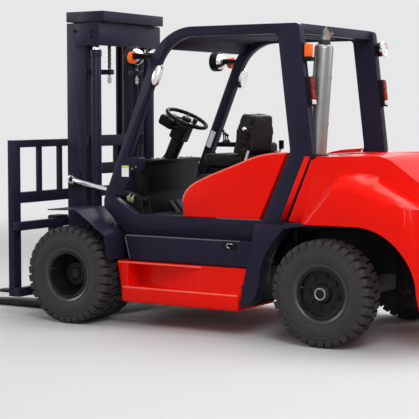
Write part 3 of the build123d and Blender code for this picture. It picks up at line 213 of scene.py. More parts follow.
def mixShaders(tree, factor, first, second, output):
    mix = tree.nodes.new("ShaderNodeMixShader")
    for index, socket in enumerate((factor, first.outputs[0], second.outputs[0])):
        tree.links.new(socket, mix.inputs[index])
    tree.links.new(mix.outputs[0], tree.nodes[output].inputs["Surface"])


# camera, floor and light

cameraSettings = {
    "place": (-6.385, 10.141, 1.822),
    "yaw": 31.67,
    "pitch": 4.19,
    "lens": 116.5,
    "sensor": 36.0,
    "reach": 200,
}


def makeCamera(s):
    bpy.ops.object.camera_add(location=s["place"])
    cam = bpy.context.object
    yaw, pitch = radians(s["yaw"]), radians(s["pitch"])
    look = Vector((sin(yaw) * cos(pitch), -cos(yaw) * cos(pitch), -sin(pitch)))
    cam.rotation_euler = look.to_track_quat("-Z", "Y").to_euler()
    cam.data.lens = s["lens"]
    cam.data.sensor_width = s["sensor"]
    cam.data.clip_end = s["reach"]
    bpy.context.scene.camera = cam


stageSettings = {
    "floorSize": 120,
    "floor": {"Base Color": (0.5, 0.5, 0.505), "Roughness": 0.7, "Specular IOR Level": 0.1},
    "backColour": (0.8, 0.8, 0.81),
    "fade": (3.5, 13.0),
    "sky": {"Color": (1, 1, 1), "Strength": 0.42},
    "aim": (-0.3, 0, 1.0),
    "lamps": (
        ("keyLamp", (-5.5, 6.5, 7.0), 4.0, 520),
        ("topLamp", (-1.5, -1.5, 7.5), 5.0, 520),
        ("noseLamp", (8.0, 4.0, 4.0), 4.0, 200),
        ("rearLamp", (-8.0, -4.0, 4.5), 4.0, 220),
        ("farLamp", (0.9, -4.2, 4.6), 2.2, 95),
        ("frontLamp", (-6.9, 11.0, 3.2), 1.6, 110),
    ),
}


def makeStage(s):
    scene = bpy.context.scene
    scene.view_settings.view_transform = "Standard"
    bpy.ops.mesh.primitive_plane_add(size=s["floorSize"], location=(0, 0, 0))
    floor = bpy.context.object
    floor.name = "floor"
    mat = bpy.data.materials.new("paleFloor")
    mat.use_nodes = True
    tree = mat.node_tree
    shader = tree.nodes["Principled BSDF"]
    setInputs(shader, s["floor"])
    far = tree.nodes.new("ShaderNodeEmission")  # far floor melts into the backdrop
    setInputs(far, {"Color": s["backColour"]})
    reach = tree.nodes.new("ShaderNodeVectorMath")
    reach.operation = "LENGTH"
    tree.links.new(objectSpace(tree), reach.inputs[0])
    fade = rampNode(tree, reach.outputs["Value"], *s["fade"])
    fade.node.interpolation_type = "SMOOTHSTEP"
    mixShaders(tree, fade, shader, far, "Material Output")
    floor.data.materials.append(mat)

    world = bpy.data.worlds.new("studio")
    scene.world = world
    world.use_nodes = True
    tree = world.node_tree
    soft = tree.nodes["Background"]
    setInputs(soft, s["sky"])
    seen = tree.nodes.new("ShaderNodeBackground")
    setInputs(seen, {"Color": s["backColour"]})
    path = tree.nodes.new("ShaderNodeLightPath").outputs
    shown = mathNode(tree, "MAXIMUM", path["Is Camera Ray"], path["Is Glossy Ray"])
    shown = mathNode(tree, "MAXIMUM", shown, path["Is Transmission Ray"])
    mixShaders(tree, shown, soft, seen, "World Output")

    for name, spot, size, power in s["lamps"]:
        bpy.ops.object.light_add(type="AREA", location=spot)
        lamp = bpy.context.object
        lamp.name = name
        lamp.data.size = size
        lamp.data.energy = power
        aim = Vector(s["aim"]) - Vector(spot)
        lamp.rotation_euler = aim.to_track_quat("-Z", "Y").to_euler()


makeCamera(cameraSettings)
makeStage(stageSettings)
print("camera and stage ready")

# shader groups that several finishes share


def newGroup(name, inputs):
    group = bpy.data.node_groups.new(name, "ShaderNodeTree")
    for label, value in inputs.items():
        kind = {4: "Color", 3: "Vector"}[len(value)] if isinstance(value, tuple) else "Float"
        sock = group.interface.new_socket(name=label, in_out="INPUT", socket_type="NodeSocket" + kind)
        sock.default_value = value
    for label, kind in (("Colour", "Color"), ("Roughness", "Float"), ("Height", "Float")):
        group.interface.new_socket(name=label, in_out="OUTPUT", socket_type="NodeSocket" + kind)
    return group, group.nodes.new("NodeGroupInput").outputs, objectSpace(group)


def raised(group, rough, mask, share, clamp=True):
    return mathNode(group, "ADD", rough, mathNode(group, "MULTIPLY", mask, share), clamp)


def putOut(group, colour, rough, height):
    end = group.nodes.new("NodeGroupOutput")
    for label, value in (("Colour", colour), ("Roughness", rough), ("Height", height)):
        group.links.new(value, end.inputs[label])
    return group


def makePaintGroup():
    group, given, spot = newGroup("paintCoat", {
        "Colour": (0.5, 0.5, 0.5, 1), "Tint": (0.4, 0.4, 0.4, 1), "Patch Scale": 2.0, "Roughness": 0.3,
        "Dust": 0.2, "Peel": 160.0})
    patch = rampNode(group, noiseNode(group, spot, given["Patch Scale"]), 0.35, 0.65)
    body = mixColour(group, patch, given["Colour"], given["Tint"])
    split = group.nodes.new("ShaderNodeSeparateXYZ")
    group.links.new(spot, split.inputs[0])
    low = rampNode(group, split.outputs["Z"], 0.75, 0.05)
    speck = rampNode(group, noiseNode(group, spot, 26.0, 6.0, 0.65), 0.48, 0.72)
    dust = mathNode(group, "MULTIPLY", mathNode(group, "MULTIPLY", low, speck), given["Dust"])
    smear = rampNode(group, noiseNode(group, spot, 7.0, 4.0, 0.6), 0.3, 0.8)
    rough = raised(group, raised(group, given["Roughness"], smear, 0.08, False), dust, 0.5)
    return putOut(group, mixColour(group, dust, body, (0.3, 0.27, 0.23, 1)), rough,
                  noiseNode(group, spot, given["Peel"], 1.0))


def makeGrainGroup():
    group, given, spot = newGroup("surfaceGrain", {
        "Scale": 300.0, "Coarse": 12.0, "Roughness": 0.5, "Colour": (0.1, 0.1, 0.1, 1),
        "Worn": (0.15, 0.15, 0.15, 1)})
    cloud = rampNode(group, noiseNode(group, spot, given["Coarse"], 4.0, 0.6), 0.35, 0.75)
    rough = raised(group, given["Roughness"], cloud, 0.12)
    return putOut(group, mixColour(group, cloud, given["Colour"], given["Worn"]), rough,
                  noiseNode(group, spot, given["Scale"], 2.0))


def makeBrushGroup():
    group, given, spot = newGroup("metalBrush", {
        "Colour": (0.5, 0.5, 0.5, 1), "Shade": (0.3, 0.3, 0.3, 1), "Stretch": (40, 40, 4), "Roughness": 0.3})
    grow = group.nodes.new("ShaderNodeVectorMath")
    grow.operation = "MULTIPLY"
    group.links.new(spot, grow.inputs[0])
    group.links.new(given["Stretch"], grow.inputs[1])
    streak = noiseNode(group, grow.outputs[0], 3.0, 5.0, 0.6)
    tone = rampNode(group, streak, 0.3, 0.7)
    rough = raised(group, given["Roughness"], tone, 0.15)
    return putOut(group, mixColour(group, tone, given["Colour"], given["Shade"]), rough, streak)


groups = {"paint": makePaintGroup(), "grain": makeGrainGroup(), "brush": makeBrushGroup()}


def finish(name, groupName, values, bump, **sockets):
    mat = bpy.data.materials.new(name)
    mat.use_nodes = True
    tree = mat.node_tree
    shader = tree.nodes["Principled BSDF"]
    made = tree.nodes.new("ShaderNodeGroup")
    made.node_tree = groups[groupName]
    setInputs(made, values)
    tree.links.new(made.outputs["Colour"], shader.inputs["Base Color"])
    tree.links.new(made.outputs["Roughness"], shader.inputs["Roughness"])
    if bump:
        relief = tree.nodes.new("ShaderNodeBump")
        setInputs(relief, {"Strength": bump, "Distance": 0.001})
        tree.links.new(made.outputs["Height"], relief.inputs["Height"])
        tree.links.new(relief.outputs["Normal"], shader.inputs["Normal"])
    setInputs(shader, {label.replace("_", " "): value for label, value in sockets.items()})
    return mat


def paint(name, colour, tint, rough, dust, coat, gloss=0.4, **sockets):
    return finish(name, "paint", {"Colour": colour, "Tint": tint, "Roughness": rough, "Dust": dust}, 0.03,
                  Coat_Weight=coat, Coat_Roughness=0.05, Specular_IOR_Level=gloss, **sockets)


def grain(name, colour, worn, scale, rough, bump, gloss=0.5, **sockets):
    return finish(name, "grain", {"Colour": colour, "Worn": worn, "Scale": scale, "Roughness": rough}, bump,
                  Specular_IOR_Level=gloss, **sockets)


def brushed(name, colour, shade, stretch, rough, bump=0.05, metal=1.0):
    return finish(name, "brush", {"Colour": colour, "Shade": shade, "Stretch": stretch, "Roughness": rough},
                  bump, Metallic=metal)


looks = {
    "red_paint": paint("redEnamel", (0.72, 0.0042, 0.001), (0.66, 0.0036, 0.0009), 0.26, 0.04, 0.06, 0.2,
                       Specular_Tint=(1.0, 0.42, 0.3)),
    "navy_paint": paint("navyEnamel", (0.0135, 0.012, 0.026), (0.0105, 0.0092, 0.021), 0.36, 0.05, 0.0, 0.13,
                        Specular_Tint=(0.85, 0.85, 1.0)),
    "frame_paint": paint("chassisBlack", (0.009, 0.009, 0.012), (0.006, 0.006, 0.008), 0.44, 0.14, 0.0, 0.12),
    "rim_paint": paint("wheelPaint", (0.0075, 0.007, 0.0095), (0.0055, 0.005, 0.007), 0.36, 0.1, 0.0, 0.16),
    "floor_paint": paint("deckGrey", (0.022, 0.022, 0.025), (0.015, 0.015, 0.017), 0.48, 0.2, 0.0, 0.15),
    "cast": grain("castGrey", (0.014, 0.014, 0.017), (0.024, 0.023, 0.024), 160, 0.48, 0.35, 0.2),
    "tyre": grain("tyreRubber", (0.025, 0.0225, 0.024), (0.038, 0.0345, 0.036), 240, 0.56, 0.25, 0.2),
    "black_plastic": grain("mouldedBlack", (0.0034, 0.0034, 0.004), (0.0058, 0.0058, 0.0068), 420, 0.4,
                           0.22, 0.1),
    "seat_vinyl": grain("seatVinyl", (0.004, 0.0034, 0.0035), (0.0075, 0.0064, 0.0066), 520, 0.46,
                        0.35, 0.12),
    "steel": brushed("bareSteel", (0.4, 0.39, 0.38), (0.28, 0.27, 0.27), (60, 60, 60), 0.32),
    "chrome": brushed("hardChrome", (0.8, 0.8, 0.81), (0.7, 0.7, 0.72), (12, 90, 90), 0.1, 0.02),
    "silver_pipe": brushed("silverPipe", (0.25, 0.255, 0.25), (0.2, 0.205, 0.2), (26, 26, 110), 0.32,
                           metal=0.8),
    "chain_steel": brushed("oiledChain", (0.12, 0.11, 0.1), (0.05, 0.045, 0.04), (60, 60, 60), 0.36),
    "mirror": brushed("mirrorGlass", (0.86, 0.87, 0.88), (0.82, 0.83, 0.85), (20, 20, 20), 0.06, 0.0),
    "amber_lens": grain("amberLens", (0.82, 0.115, 0.002), (0.68, 0.085, 0.001), 90, 0.2, 0.4, 0.25),
    "red_lens": grain("redLens", (0.24, 0.002, 0.002), (0.15, 0.001, 0.001), 90, 0.2, 0.4, 0.2),
    "clear_lens": grain("clearLens", (0.88, 0.89, 0.9), (0.8, 0.82, 0.84), 120, 0.06, 0.35,
                        Transmission_Weight=0.35, IOR=1.46, Coat_Weight=0.5),
    # small things that share another slot
    "label": grain("blankLabel", (0.74, 0.75, 0.76), (0.66, 0.67, 0.68), 90, 0.38, 0.05),
    "labelTop": grain("labelStrip", (0.55, 0.62, 0.06), (0.48, 0.54, 0.05), 90, 0.38, 0.05),
    "creamPaint": paint("cylinderCream", (0.5, 0.46, 0.28), (0.42, 0.38, 0.22), 0.34, 0.1, 0.2),
    "gaugeFace": grain("gaugeFace", (0.015, 0.017, 0.02), (0.022, 0.024, 0.028), 60, 0.12, 0.02,
                       Coat_Weight=0.8),
    # painted highlight: lighter red and navy for the beads, standing in for highlight lines along crests,
    # lips and ledges
    "redEdge": paint("redEdge", (0.86, 0.085, 0.05), (0.8, 0.07, 0.04), 0.24, 0.02, 0.3, 0.5),
    "navyEdge": paint("navyEdge", (0.085, 0.084, 0.105), (0.07, 0.069, 0.09), 0.28, 0.05, 0.2, 0.5),
    "flange": grain("flangeGrey", (0.022, 0.021, 0.023), (0.016, 0.015, 0.016), 200, 0.3, 0.1, 0.5),
    "webbing": grain("beltWebbing", (0.6, 0.6, 0.61), (0.48, 0.48, 0.49), 700, 0.6, 0.4),
}
print("finishes made:", len(looks))

# modelling helpers

facing = {1: (-pi / 2, 0, 0), -1: (pi / 2, 0, 0), "+x": (0, pi / 2, 0), "-x": (0, -pi / 2, 0)}
upright = (pi / 2, 0, 0)


def place(obj, spot, turned=(0, 0, 0)):
    obj.location = spot
    obj.rotation_euler = turned
    settle(obj)
    return obj


def copyOf(source, name):
    pick(source)
    bpy.ops.object.duplicate(linked=False)
    bpy.context.object.name = name
    return bpy.context.object


def joined(pieces, name):
    dropSelection()
    for piece in pieces:
        piece.select_set(True)
    bpy.context.view_layer.objects.active = pieces[0]
    if len(pieces) > 1:
        bpy.ops.object.join()
    pieces[0].name = name
    return pieces[0]


def roundEdges(obj, test, width, segments):
    selectWhere(obj, "EDGE", test)
    bpy.ops.mesh.bevel(offset=width, segments=segments, affect="EDGES", clamp_overlap=True)
    closeMesh()
    return obj


def block(name, low, high, bevel, segments):
    dropSelection()
    bpy.ops.mesh.primitive_cube_add(size=1, location=[(a + b) / 2 for a, b in zip(low, high)],
                                    scale=[abs(b - a) for a, b in zip(low, high)])
    return smooth(roundEdges(fresh(name), lambda a, b: True, bevel, segments), 40)


# a circle about the y axis, extruded ring by ring along the profile (y, radius)
def turn(name, profile, steps, looped=False):
    dropSelection()
    y, r = profile[0]
    bpy.ops.mesh.primitive_circle_add(vertices=steps, radius=r, rotation=upright,
                                      fill_type="NOTHING" if looped else "NGON")
    obj = fresh(name)
    openMesh(obj)
    bpy.ops.transform.translate(value=(0, y, 0))
    for nextY, nextR in list(profile[1:]) + ([profile[0]] if looped else []):
        bpy.ops.mesh.extrude_edges_move(TRANSFORM_OT_translate={"value": (0, nextY - y, 0)})
        bpy.ops.transform.resize(value=(nextR / r, 1, nextR / r), center_override=(0, nextY, 0))
        y, r = nextY, nextR
    if not looped:
        bpy.ops.mesh.edge_face_add()
    closeMesh(True, 0.00001)
    return smooth(obj, 35)


# a run of points given a round section, as a mesh
def tube(name, points, radius, smoothRun=True, resolution=4):
    dropSelection()
    curve = bpy.data.curves.new(name, "CURVE")
    curve.dimensions = "3D"
    curve.bevel_depth = radius
    curve.bevel_resolution = resolution
    curve.use_fill_caps = True
    spline = curve.splines.new("NURBS" if smoothRun else "POLY")
    spline.points.add(len(points) - 1)
    for point, spot in zip(spline.points, points):
        point.co = (*spot, 1)
    if smoothRun:
        spline.order_u = 3
        spline.use_endpoint_u = True
    obj = bpy.data.objects.new(name, curve)
    bpy.context.scene.collection.objects.link(obj)
    pick(obj)
    bpy.ops.object.convert(target="MESH")
    return smooth(bpy.context.object, 50)


# an outline (x, z) filled and extruded across
def plate(name, outline, inner, outer, side, edge=0.002):
    dropSelection()
    bpy.ops.mesh.primitive_circle_add(vertices=len(outline), radius=1, fill_type="NGON")
    obj = fresh(name)
    for vert, (x, z) in zip(obj.data.vertices, outline):
        vert.co = (x, side * inner, z)
    openMesh(obj)
    bpy.ops.mesh.extrude_region_move(TRANSFORM_OT_translate={"value": (0, side * (outer - inner), 0)})
    closeMesh(True)
    softEdges(obj, edge)
    return smooth(obj, 35)


def trimmed(obj, low, high):
    openMesh(obj)
    for level, way in ((low, -1), (high, 1)):
        bpy.ops.mesh.select_all(action="SELECT")
        bpy.ops.mesh.bisect(plane_co=(0, 0, level), plane_no=(0, 0, way), use_fill=True, clear_outer=True)
    closeMesh()
    return obj


def mirrored(obj, name):
    twin = copyOf(obj, name)
    twin.scale = (1, -1, 1)
    settle(twin)
    openMesh(twin)
    closeMesh(True)
    return twin


def onSide(points, side):
    return [(x, side * y, z) for x, y, z in points]


def sideBox(box, side):
    return *onSide(box[:2], side), *box[2:]


# sides, width, depth, middle, height of the rounded edge, its bevel and segments, per size
boltShape = ((6, 1.0, 0.8, 0.62, 1.0, 0.12, 2), (20, 1.45, 0.26, 0.11, 0.2, 0.08, 1))


# hex head and washer, head up along z
def makeBolt(size):
    pieces = []
    for count, wide, deep, middle, above, bevel, segments in boltShape:
        dropSelection()
        bpy.ops.mesh.primitive_cylinder_add(vertices=count, radius=size * wide, depth=size * deep,
                                            location=(0, 0, size * middle))
        piece = fresh("bolt")
        pieces.append(roundEdges(piece, lambda a, b: min(a.z, b.z) > size * above, size * bevel, segments))
    return smooth(joined(pieces, "bolt"), 30)


def boltSet(name, rows, size, body, slotName):
    master = makeBolt(size)
    copies = [place(copyOf(master, name), spot, facing[way]) for spot, way in rows]
    bpy.data.objects.remove(master)
    return dress(joined(copies, name), slotName, body)


# CAD nodes get a merged copy with softened edges and their finish

nodeSlots = {row["node"]: row["material_slot"] for row in frame["record"]["subparts"]}
nodeBodies = {n: b for b, members in frame["record"]["behaviour"]["bodies"].items() for n in members}


def mergedCopy(node, name):
    source = nodes[node]
    dropSelection()
    copy = source.copy()
    copy.data = source.data.copy()
    copy.name = name
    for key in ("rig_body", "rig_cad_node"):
        if key in copy:
            del copy[key]
    copy.parent = None
    bpy.context.scene.collection.objects.link(copy)
    openMesh(copy)
    bpy.ops.mesh.remove_doubles(threshold=0.00002)
    bpy.ops.mesh.dissolve_limited(angle_limit=radians(0.6), use_dissolve_boundaries=False)
    closeMesh()
    return copy


# faces and levels that the crests' tests look for
crestLook = {
    "lampCorner": (-1.4, 0.6, 2.3),
    "weightY": 0.74,
    "haunchY": 0.93,
    "above": 0.05,
    "run": 0.005,
    "foldX": (-1.765, -1.56),
    "ridgeX": (-1.79, -1.76),
    "ridge": (0.739, 1.17),
    "panel": (0.725, 1.15),
    "side": (0.705, 1.05),
}


# the near rear lamp is rebuilt on its own bracket below
def nearRearLamp(p):
    x, y, z = crestLook["lampCorner"]
    return p.y > y and p.x < x and p.z > z


# upper outline of the haunch over the rear wheel
haunchCrest = ((-0.8, 1.045), (-1.438, 0.93), (-1.663, 1.229), (-1.788, 1.346), (-1.94, 1.354),
               (-2.092, 1.326), (-2.249, 1.24), (-2.6, 1.045))


def haunchTop(x):
    for (x0, z0), (x1, z1) in zip(haunchCrest, haunchCrest[1:]):
        if x0 >= x >= x1:
            return z0 + (z1 - z0) * (x0 - x) / (x0 - x1)
    return 1.0


def weightCrest(a, b):
    y, rise = crestLook["weightY"], crestLook["above"]
    above = all(abs(abs(p.y) - y) < touch and p.z > haunchTop(p.x) + rise for p in (a, b))
    return above and abs(a.x - b.x) > crestLook["run"]


# the slanted fore end of the haunch
def haunchFold(a, b):
    (back, fore), y = crestLook["foldX"], crestLook["haunchY"]
    outer = all(abs(abs(p.y) - y) < touch and back < p.x < fore for p in (a, b))
    (back, fore), (y, z) = crestLook["ridgeX"], crestLook["ridge"]
    ridge = all(back < p.x < fore and abs(p.y) > y and p.z > z for p in (a, b))
    return (outer or ridge) and abs(a.z - b.z) > crestLook["run"]


def panelCrest(a, b):
    y, z = crestLook["panel"]
    return all(abs(p.y) > y and p.z > z for p in (a, b)) and abs(a.y - b.y) < touch


# long crest edges are rounded wider, the work lamp stands close to its leg, sliding faces stand in a little
crestEdges = {"counterweight": ((weightCrest, 0.04, 4), (haunchFold, 0.03, 4)),
              "side_panels": ((panelCrest, 0.02, 4),)}
shifted = {"work_lamp_housings": (0.038, 0, -0.02)}
easeIn = {"mast_inner": -0.00015}
edgeWidths = {
    "chassis_frame": 0.004, "drive_axle": 0.004, "steer_axle": 0.006, "engine_block": 0.008,
    "counterweight": 0.012, "radiator_grille": 0.003, "rear_deck": 0.004, "tow_pin": 0.003,
    "side_panels": 0.008, "guard_sides": 0.01, "guard_roof": 0.004, "front_fenders": 0.003,
    "rear_fenders": 0.006, "side_lockers": 0.006, "steps": 0.008, "floor_plate": 0.002,
    "steering_column": 0.003, "pedals": 0.003, "lamp_brackets": 0.002,
    "headlamp_shells": 0.0, "work_lamp_housings": 0.003, "hood": 0.008, "seat_mount": 0.004,
    "lever_console": 0.004, "mast_outer": 0.004, "tilt_lugs": 0.004, "lift_barrels": 0.003,
    "mast_inner": 0.004, "lift_rods": 0.002, "chain_sheaves": 0.003, "carriage": 0.005,
    "load_backrest": 0.006, "fork_left": 0.006, "fork_right": 0.006, "tilt_barrels": 0.003,
    "tilt_rods": 0.002, "knuckle_left": 0.004, "knuckle_right": 0.004, "front_rims_left": 0.002,
    "front_rims_right": 0.002, "rear_rim_left": 0.002, "rear_rim_right": 0.002,
}


def softenNode(node, width):
    copy = mergedCopy(node, node + "_skin")
    if node in ("lamp_brackets", "work_lamp_housings"):
        selectWhere(copy, "VERT", nearRearLamp)
        bpy.ops.mesh.delete(type="VERT")
        closeMesh()
    if node in shifted:
        openMesh(copy)
        bpy.ops.transform.translate(value=shifted[node])
        closeMesh()
    for crest in crestEdges.get(node, ()):
        roundEdges(copy, *crest)
    if width:
        softEdges(copy, width)
    if node in easeIn:
        openMesh(copy)
        bpy.ops.transform.shrink_fatten(value=easeIn[node])
        closeMesh()
    dress(smooth(copy, 32), nodeSlots[node], nodeBodies[node], (node,))


for node, width in edgeWidths.items():
    softenNode(node, width)
print("softened", len(edgeWidths), "nodes")

# tyres: turned carcass with ringed sidewalls and two rows of shoulder lugs

tyreLook = {
    "steps": 104,
    "lugs": 34,
    "lugSize": (0.056, 0.1065, 0.055),
    "lugMiddle": 0.062,
    "tip": 0.416,
    "shoulder": 0.03,
    "slant": 9,
    "wall": ((0.079, 0.214), (0.085, 0.216), (0.093, 0.224), (0.1, 0.237), (0.1055, 0.25),
             (0.1105, 0.265), (0.1145, 0.285), (0.1165, 0.306), (0.1162, 0.324), (0.1138, 0.3285),
             (0.1152, 0.333), (0.114, 0.348), (0.112, 0.36), (0.106, 0.376), (0.096, 0.387),
             (0.06, 0.3935), (0.0, 0.395)),
    "lugEdge": (0.004, 0.04, 0.034),
    "twins": ((0.88, 0.05), (0.608, 0.11)),
    "single": (0.84, 0.02),
}


def makeTyre(s):
    half = list(s["wall"])
    carcass = turn("tyre", half + [(-y, r) for y, r in reversed(half[:-1])], s["steps"], looped=True)
    wide, long, high = s["lugSize"]
    dropSelection()
    bpy.ops.mesh.primitive_cube_add(size=1, location=(0, s["lugMiddle"], s["tip"] - high / 2),
                                    scale=(wide, long, high))
    lugs = fresh("lugs")
    top, end = s["tip"] - touch, s["lugMiddle"] + long / 2 - touch
    roundEdges(lugs, lambda a, b: min(a.z, b.z) > top and min(a.y, b.y) > end, s["shoulder"], 4)
    bevel, under, over = s["lugEdge"]
    roundEdges(lugs, lambda a, b: abs(a.x - b.x) < touch and min(a.z, b.z) > top - under
               and max(a.z, b.z) > top - over, bevel, 2)
    openMesh(lugs)
    bpy.ops.transform.rotate(value=radians(s["slant"]), orient_axis="Z", center_override=(0, end, top))
    bpy.ops.mesh.spin(steps=s["lugs"], dupli=True, angle=2 * pi, center=(0, 0, 0), axis=(0, 1, 0))
    closeMesh(True, 0.00001)
    other = place(mirrored(lugs, "lugs"), (0, 0, 0), (0, pi / s["lugs"], 0))
    return smooth(joined([carcass, lugs, other], "tyre"), 34)


def fitTyres(s):
    master = makeTyre(s)
    for side, word in sides:
        twins = [place(copyOf(master, "tyre"), (frontAxle, side * y, axleHeight), (0, turned, 0))
                 for y, turned in s["twins"]]
        dress(joined(twins, "frontTyres_" + word), "tyre", "front_wheel_" + word, ("front_tyres_" + word,))
        y, turned = s["single"]
        single = place(copyOf(master, "rearTyre_" + word), (rearAxle, side * y, axleHeight), (0, turned, 0))
        dress(single, "tyre", "rear_wheel_" + word, ("rear_tyre_" + word,))
    bpy.data.objects.remove(master)


fitTyres(tyreLook)
print("tyres fitted")

# wheel hardware: lock rings, nuts (count, radius, y, size, first angle), hub caps and valves

wheelLook = {
    "ends": (("front", frontAxle, 0.88, "rim_paint"), ("rear", rearAxle, 0.84, "steel")),
    "valveRadius": 0.005,
    "valve": ((0.165, 0.02, 0.04), (0.163, 0.06, 0.04), (0.17, 0.085, 0.041)),
    "frontNuts": (10, 0.142, 0.756, 0.015, 0.2),
    "frontCapBolts": (8, 0.072, 0.85, 0.008, 0.0),
    "rearNuts": (8, 0.128, 0.876, 0.015, 0.2),
    "lockRing": ((0.085, 0.206), (0.0895, 0.206), (0.0935, 0.2105), (0.0995, 0.2225), (0.104, 0.233),
                 (0.1035, 0.2365), (0.1, 0.2375), (0.093, 0.225), (0.086, 0.2135)),
    "rearCap": ((0.909, 0.0455), (0.909, 0.0535), (0.934, 0.0515), (0.9415, 0.047), (0.943, 0.04),
                (0.9405, 0.0372), (0.9325, 0.0455)),
    "frontCap": ((0.848, 0.056), (0.853, 0.056), (0.857, 0.052), (0.865, 0.048), (0.869, 0.04),
                 (0.87, 0.01)),
}


def nutRing(name, axleX, side, body, ring):
    count, radius, y, size, first = ring
    angles = [first + 2 * pi * k / count for k in range(count)]
    rows = [((axleX + radius * cos(a), side * y, axleHeight + radius * sin(a)), side) for a in angles]
    boltSet(name, rows, size, body, "rim_paint")


def wheelDetails(s):
    for side, word in sides:
        for end, axleX, centre, capFinish in s["ends"]:
            body, spot = end + "_wheel_" + word, (axleX, 0, axleHeight)
            profile = [(side * (centre + y), r) for y, r in s["lockRing"]]
            ring = turn(end + "LockRing_" + word, profile, 72, looped=True)
            dress(place(ring, spot), "rim_paint", body, look="flange")
            run = [(axleX + x, side * (centre + y), axleHeight + z) for x, y, z in s["valve"]]
            dress(tube(end + "Valve_" + word, run, s["valveRadius"]), "steel", body)
            nutRing(end + "Nuts_" + word, axleX, side, body, s[end + "Nuts"])
            profile = [(side * y, r) for y, r in s[end + "Cap"]]
            cap = turn(end + "HubCap_" + word, profile, 40, looped=end == "rear")
            dress(place(cap, spot), capFinish, body)
        nutRing("frontCapBolts_" + word, frontAxle, side, "front_wheel_" + word, s["frontCapBolts"])


wheelDetails(wheelLook)
print("wheel hardware fitted")

# leaf chains: the run over each sheave down to the carriage, and the anchored run behind it

chainLook = {
    "pitch": 0.02,
    "leaf": (0.0068, 0.0054),
    "leafGap": 0.006,
    "pin": (0.0038, 0.02),
    "y": 0.215,
    "sheave": (0.865, 2.515),
    "line": 0.0733,
    "low": 0.835,
    "anchor": 2.185,
    "liftEnds": (0.06, 0.03),
    "anchorEnds": (0.02, 0.02),
}


def makeLeaf(s):
    radius, thick = s["leaf"]
    dropSelection()
    bpy.ops.mesh.primitive_circle_add(vertices=12, radius=radius, fill_type="NGON",
                                      rotation=(pi / 2, pi / 12, 0))
    leaf = fresh("leaf")
    selectWhere(leaf, "VERT", lambda p: p.z > 0)
    bpy.ops.transform.translate(value=(0, 0, s["pitch"]))
    bpy.ops.mesh.select_all(action="SELECT")
    bpy.ops.transform.translate(value=(0, -thick / 2, 0))
    bpy.ops.mesh.extrude_region_move(TRANSFORM_OT_translate={"value": (0, thick, 0)})
    closeMesh(True)
    pinRadius, reach = s["pin"]
    bpy.ops.mesh.primitive_cylinder_add(vertices=8, radius=pinRadius, depth=2 * reach, rotation=upright)
    return leaf, fresh("pin")


# one link is three leaves and a pin; the next link sits a leaf to the side
def makeLink(s, leaf, pin, odd):
    shift = s["leafGap"] * (odd - 0.5)
    leaves = [place(copyOf(leaf, "leaf"), (0, shift + step * 2 * s["leafGap"], 0)) for step in (-1, 0, 1)]
    return joined(leaves + [copyOf(pin, "pin")], "link")


def chainRun(s, links, x, low, high):
    count = int(round((high - low) / s["pitch"]))
    run = []
    for odd, link in enumerate(links):
        row = place(copyOf(link, "row"), (x, 0, low + odd * s["pitch"]))
        applyModifier(row, "ARRAY", count=(count + 1 - odd) // 2, use_relative_offset=False,
                      use_constant_offset=True, constant_offset_displace=(0, 0, 2 * s["pitch"]))
        run.append(row)
    return run


def makeChains(s):
    leaf, pin = makeLeaf(s)
    links = [makeLink(s, leaf, pin, odd) for odd in (0, 1)]
    x, z = s["sheave"]
    line = s["line"]
    front = chainRun(s, links, x + line, s["low"], z)
    step = s["pitch"] / line
    for k in range(int(pi / step) + 1):
        angle = k * step
        spot = (x + line * cos(angle), 0, z + line * sin(angle))
        front.append(place(copyOf(links[k % 2], "link"), spot, (0, -angle - step / 2, 0)))
    back = chainRun(s, links, x - line, s["anchor"], z)
    for spare in (leaf, pin, *links):
        bpy.data.objects.remove(spare)
    for name, run, node, lower, foot, (under, over) in (
            ("liftChains", front, "chain_lift_runs", "carriage", s["low"], s["liftEnds"]),
            ("anchorChains", back, "chain_anchor_runs", "mast_outer", s["anchor"], s["anchorEnds"])):
        left = place(joined(run, name), (0, s["y"], 0))
        both = smooth(joined([left, mirrored(left, name)], name), 30)
        both.data.materials.clear()
        both.data.materials.append(looks["chain_steel"])
        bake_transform(both)
        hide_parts(node)


makeChains(chainLook)
print("chains linked")

# seat: cushion and back swelled as cloth from the CAD pads, then sewn

seatLook = {
    "voxel": 0.007,
    "shrink": 0.965,
    "pressure": 4.0,
    "cap": 0.014,
    "channels": (-0.105, 0.105),
    "channelDepth": 0.007,
    "channelWidth": 0.007,
    "channelFall": 2.718,
    "stiffness": 8,
    "frames": 20,
    "past": 0.008,
}


